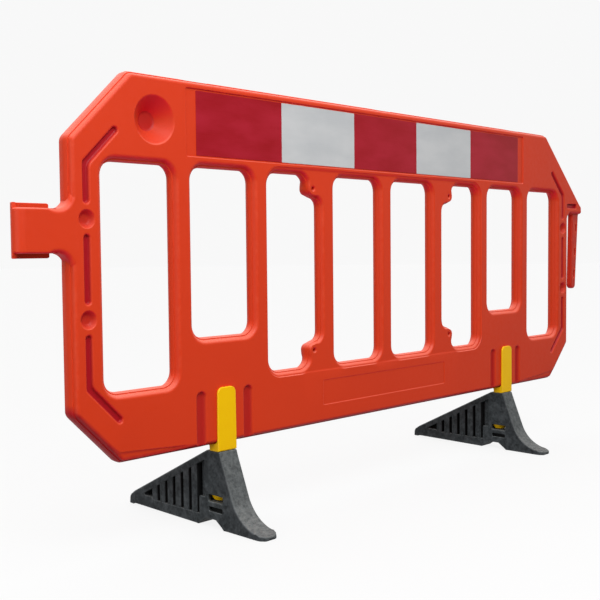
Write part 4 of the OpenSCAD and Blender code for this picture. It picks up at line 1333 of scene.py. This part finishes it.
# Way in from the lip, drop below the side, wear and painted shade, near black in the slots
POCKET_WALL = [(0, 0, 0, 0), (0.7, 0.1, 0.3, 0), (1.5, 0.7, 0.3, 0), (2, 2, 0, 0.3), (2.6, 16.4, 0, 1),
               (3.4, 17.6, 0, 1), (4.6, 18, 0, 1)]
RECESS_WALL = [(0, 0, 0, 0), (0.7, 0.2, 0.3, 0), (1.4, 1, 0.2, 0), (1.8, 3, 0, 0.8), (2.2, 10, 0, 1),
               (3.6, 10.5, 0, 1)]
# Front, back, bottom, top and corner radius
BARB_WINDOW = (-36, 14, 60, 76, 3)
LOW_RECESS = (-36, 14, 36, 50, 4)
SLOPE_WALL = 17.0
SHOULDER_Y = (24.15, 45.25)
SHOULDER_Z = 66.0
POCKET_END = 261.85
pocket = [(SHOULDER_Y[1], 24, 3), (226, 24, 3), (231, 29, 3), (POCKET_END, 29, 4),
          (POCKET_END, slope_z(POCKET_END) - SLOPE_WALL, 3),
          (SHOULDER_Y[0], slope_z(SHOULDER_Y[0]) - SLOPE_WALL, 4),
          (SHOULDER_Y[0], SHOULDER_Z, 4), (SHOULDER_Y[1], SHOULDER_Z, 3)]
print("pocket", round(POCKET_END - SHOULDER_Y[0], 1), "mm long")

# %% [markdown]
# The ribs repeat along the pocket at one pitch, and each is as tall as the slope above it allows. That is
# a rule, so Geometry Nodes make them, where an array modifier would make them all equal. The tree starts
# with named inputs for the sizes; each input's identifier is kept, because a modifier's inputs are set by
# it.

# %% Inputs of the rib tree
RIB_INPUTS = [("Count", "NodeSocketInt", 6), ("Pitch", "NodeSocketFloat", 30.6 * MM),
              ("Width", "NodeSocketFloat", 21.1 * MM), ("Depth", "NodeSocketFloat", 18.5 * MM),
              ("Round", "NodeSocketFloat", 2.2 * MM), ("First", "NodeSocketVector", (0, 0, 0)),
              ("Side", "NodeSocketFloat", 17.2 * MM), ("Height", "NodeSocketFloat", 0.1),
              ("Fall", "NodeSocketFloat", 0.5)]
rib_tree = bpy.data.node_groups.new("rib_row", "GeometryNodeTree")
rib_tree.interface.new_socket("Geometry", in_out="OUTPUT", socket_type="NodeSocketGeometry")
rib_ids = {}
for name, kind, value in RIB_INPUTS:
    socket = rib_tree.interface.new_socket(name, in_out="INPUT", socket_type=kind)
    socket.default_value = value
    rib_ids[name] = socket.identifier
given = add_node(rib_tree, "NodeGroupInput").outputs
print("rib inputs", list(rib_ids))

# %% [markdown]
# One row is a line of points, one rounded bar swept upwards to a height of 1, and a scale that reads the
# point's own place, so that each bar ends under the slope. Six separate bars would do too, but they would
# have to be measured again whenever a size changed.

# %% One row of ribs
step_y = add_node(rib_tree, "ShaderNodeCombineXYZ", {"Y": given["Pitch"]})
row = add_node(rib_tree, "GeometryNodeMeshLine", {
    "Count": given["Count"], "Start Location": given["First"], "Offset": step_y.outputs[0]})
bar_plan = add_node(rib_tree, "GeometryNodeCurvePrimitiveQuadrilateral", {
    "Width": given["Depth"], "Height": given["Width"]})
bar_round = add_node(rib_tree, "GeometryNodeFilletCurve", {
    "Curve": bar_plan.outputs[0], "Count": 3, "Radius": given["Round"]}, mode="POLY")
upright = add_node(rib_tree, "GeometryNodeCurvePrimitiveLine", {"End": (0.0, 0.0, 1.0)})
bar = add_node(rib_tree, "GeometryNodeCurveToMesh", {
    "Curve": upright.outputs[0], "Profile Curve": bar_round.outputs[0], "Fill Caps": True})
place_of = add_node(rib_tree, "GeometryNodeInputPosition")
first_spot = add_node(rib_tree, "ShaderNodeSeparateXYZ", {0: given["First"]})
this_spot = add_node(rib_tree, "ShaderNodeSeparateXYZ", {0: place_of.outputs[0]})
along = add_node(rib_tree, "ShaderNodeMath", {
    0: this_spot.outputs["Y"], 1: first_spot.outputs["Y"]}, operation="SUBTRACT")
lost = add_node(rib_tree, "ShaderNodeMath", {0: along.outputs[0], 1: given["Fall"]}, operation="MULTIPLY")
tall = add_node(rib_tree, "ShaderNodeMath", {0: given["Height"], 1: lost.outputs[0]}, operation="SUBTRACT")
grow = add_node(rib_tree, "ShaderNodeCombineXYZ", {"X": 1.0, "Y": 1.0, "Z": tall.outputs[0]})
ribs = add_node(rib_tree, "GeometryNodeInstanceOnPoints", {
    "Points": row.outputs[0], "Instance": bar.outputs[0], "Scale": grow.outputs[0]})
print("nodes for one row", len(rib_tree.nodes))

# %% [markdown]
# The row goes to both sides of the foot. The tree ends in plain geometry with its finish, because
# instances would not be exported. It also stores painted shade for each point, so that the ribs' own
# sides are painted dark in the slots.

# %% Ribs on both sides
both = add_node(rib_tree, "GeometryNodeJoinGeometry")
for way_out in (-1.0, 1.0):
    by = add_node(rib_tree, "ShaderNodeMath", {0: given["Side"], 1: way_out}, operation="MULTIPLY")
    shift = add_node(rib_tree, "ShaderNodeCombineXYZ", {"X": by.outputs[0]})
    moved = add_node(rib_tree, "GeometryNodeTransform", {
        "Geometry": ribs.outputs[0], "Translation": shift.outputs[0]})
    rib_tree.links.new(moved.outputs[0], both.inputs[0])
solid = add_node(rib_tree, "GeometryNodeRealizeInstances", {"Geometry": both.outputs[0]})
# Past the rounded corners the ribs' sides lie in the slots, so they get painted shade
from_mid = add_node(rib_tree, "ShaderNodeMath", {
    0: this_spot.outputs["X"], 1: first_spot.outputs["X"]}, operation="SUBTRACT")
out_by = add_node(rib_tree, "ShaderNodeMath", {0: from_mid.outputs[0]}, operation="ABSOLUTE")
inside = add_node(rib_tree, "ShaderNodeMapRange", {
    "Value": out_by.outputs[0], "From Min": 26.2 * MM, "From Max": 24.6 * MM, "To Min": 0.0, "To Max": 1.0})
marked = add_node(rib_tree, "GeometryNodeStoreNamedAttribute", {
    "Geometry": solid.outputs[0], "Name": "sunk", "Value": inside.outputs[0]},
    data_type="FLOAT", domain="POINT")
finished = add_node(rib_tree, "GeometryNodeSetMaterial", {
    "Geometry": marked.outputs[0], "Material": foot_rubber})
add_node(rib_tree, "NodeGroupOutput", {0: finished.outputs[0]})
print("rib tree nodes", len(rib_tree.nodes))

# %% [markdown]
# A modifier runs the tree on an empty holder for each foot. The result is taken as a plain mesh and the
# holder is thrown away, so that nothing live is left for the export.

# %% Ribs as a plain mesh
RIB_FIRST = 65.3
RIB_LOW = 20.0
RIB_OVER = 5.0


def rib_piece(name, mid_x):
    """Runs the rib tree for one foot and returns the result as a plain mesh object."""
    values = {"First": Vector((mid_x, panel_y + RIB_FIRST, RIB_LOW)) * MM,
              "Height": (slope_z(RIB_FIRST) - SLOPE_WALL + RIB_OVER - RIB_LOW) * MM,
              "Fall": -math.tan(slope_a)}
    holder = add_object("rib_holder", bpy.data.meshes.new("rib_holder"))
    modifier = holder.modifiers.new("ribs", "NODES")
    modifier.node_group = rib_tree
    for key, value in values.items():
        modifier[rib_ids[key]] = value
    mesh = finished_mesh(holder)
    bpy.data.objects.remove(holder)
    mesh.name = name
    print(name, len(mesh.polygons), "faces")
    return add_object(name, mesh)


print("first rib", RIB_FIRST, "mm behind the swivel")

# %% [markdown]
# The foot's body is bored from above for the clip's stem, with a wider chamber where the barb snaps in. A
# round bore crosses the plate's own loops, so here a boolean cut is easiest, after which the cutter is
# thrown away.

# %% Boring a foot
BORE_ROWS = ((23, 60.2), (23, 75.8), (17.1, 75.8), (17.1, 190.0))


def cut_away(piece, cutter):
    """Cuts one object out of another and deletes the cutter."""
    modifier = piece.modifiers.new("cut", "BOOLEAN")
    modifier.operation = "DIFFERENCE"
    modifier.solver = "EXACT"
    modifier.object = cutter
    mesh = finished_mesh(piece)
    piece.modifiers.remove(modifier)
    old = piece.data
    piece.data = mesh
    bpy.data.meshes.remove(old)
    bpy.data.objects.remove(cutter)


print("bore", 2 * BORE_ROWS[-1][0], "mm across")

# %% [markdown]
# Now a foot can be put together from its bored body, its ribs and the shoulder before them. They could be
# joined into one mesh, but three simple pieces that overlap in the rubber look the same and stay easy to
# change. The toe is rounded in plan by narrowing the plate.

# %% Feet
SHOULDER_SINK = 3.0
SHOULDER_TOP = 15.0
SHOULDER_DEPTH = 10.0
SHOULDER_BACK = 20.0


def foot_half_width(q):
    """Half width of the foot in plan, rounded off at the toe."""
    round_in = np.clip(TOE_ROUND - TOE - q[:, 0], 0, TOE_ROUND)
    return FOOT_HALF - TOE_ROUND + np.sqrt(TOE_ROUND ** 2 - round_in ** 2)


def foot_piece(node):
    """One foot: bored body, ribs and shoulder."""
    low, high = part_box(node)
    mid_x = (low.x + high.x) / 2 / MM
    place = across(mid_x)
    shell = Shell()
    body = profiled(round_loop(foot_outline, step=10.0), FOOT_EDGE)
    window = profiled(round_loop(box_corners(*BARB_WINDOW)[::-1], step=12.0), WINDOW_EDGE)
    cuts = [profiled(round_loop(pocket, step=12.0), POCKET_WALL),
            profiled(round_loop(box_corners(*LOW_RECESS), step=12.0), RECESS_WALL)]
    plate(shell, [body, window], cuts, narrowed(foot_half_width, FOOT_HALF), place, FOOT_HALF)
    foot = shell.build(node + "_body", foot_rubber)
    bore = Shell()
    turned_stack(bore, mid_x, BORE_ROWS)
    cut_away(foot, bore.build("bore", foot_rubber))
    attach(foot, node)
    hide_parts(node)
    ribs_made = rib_piece(node + "_ribs", mid_x)
    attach(ribs_made, node)
    back, front = SHOULDER_Y[0] - SHOULDER_SINK, SHOULDER_Y[1]
    low_z = SHOULDER_Z - SHOULDER_SINK
    block = np.array([(back, low_z), (front, low_z), (front, slope_z(front) - SHOULDER_TOP),
                      (back, slope_z(back) - SHOULDER_TOP)])
    filling = Shell()
    for side in (-1, 1):
        depths = (FOOT_HALF - SHOULDER_BACK, FOOT_HALF - SHOULDER_DEPTH)
        filling.lathe([filling.ring(place(block, side * depth)) for depth in depths])
    shoulder = filling.build(node + "_shoulder", foot_rubber)
    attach(shoulder, node)


for node in ("foot_left", "foot_right"):
    foot_piece(node)

# %% [markdown]
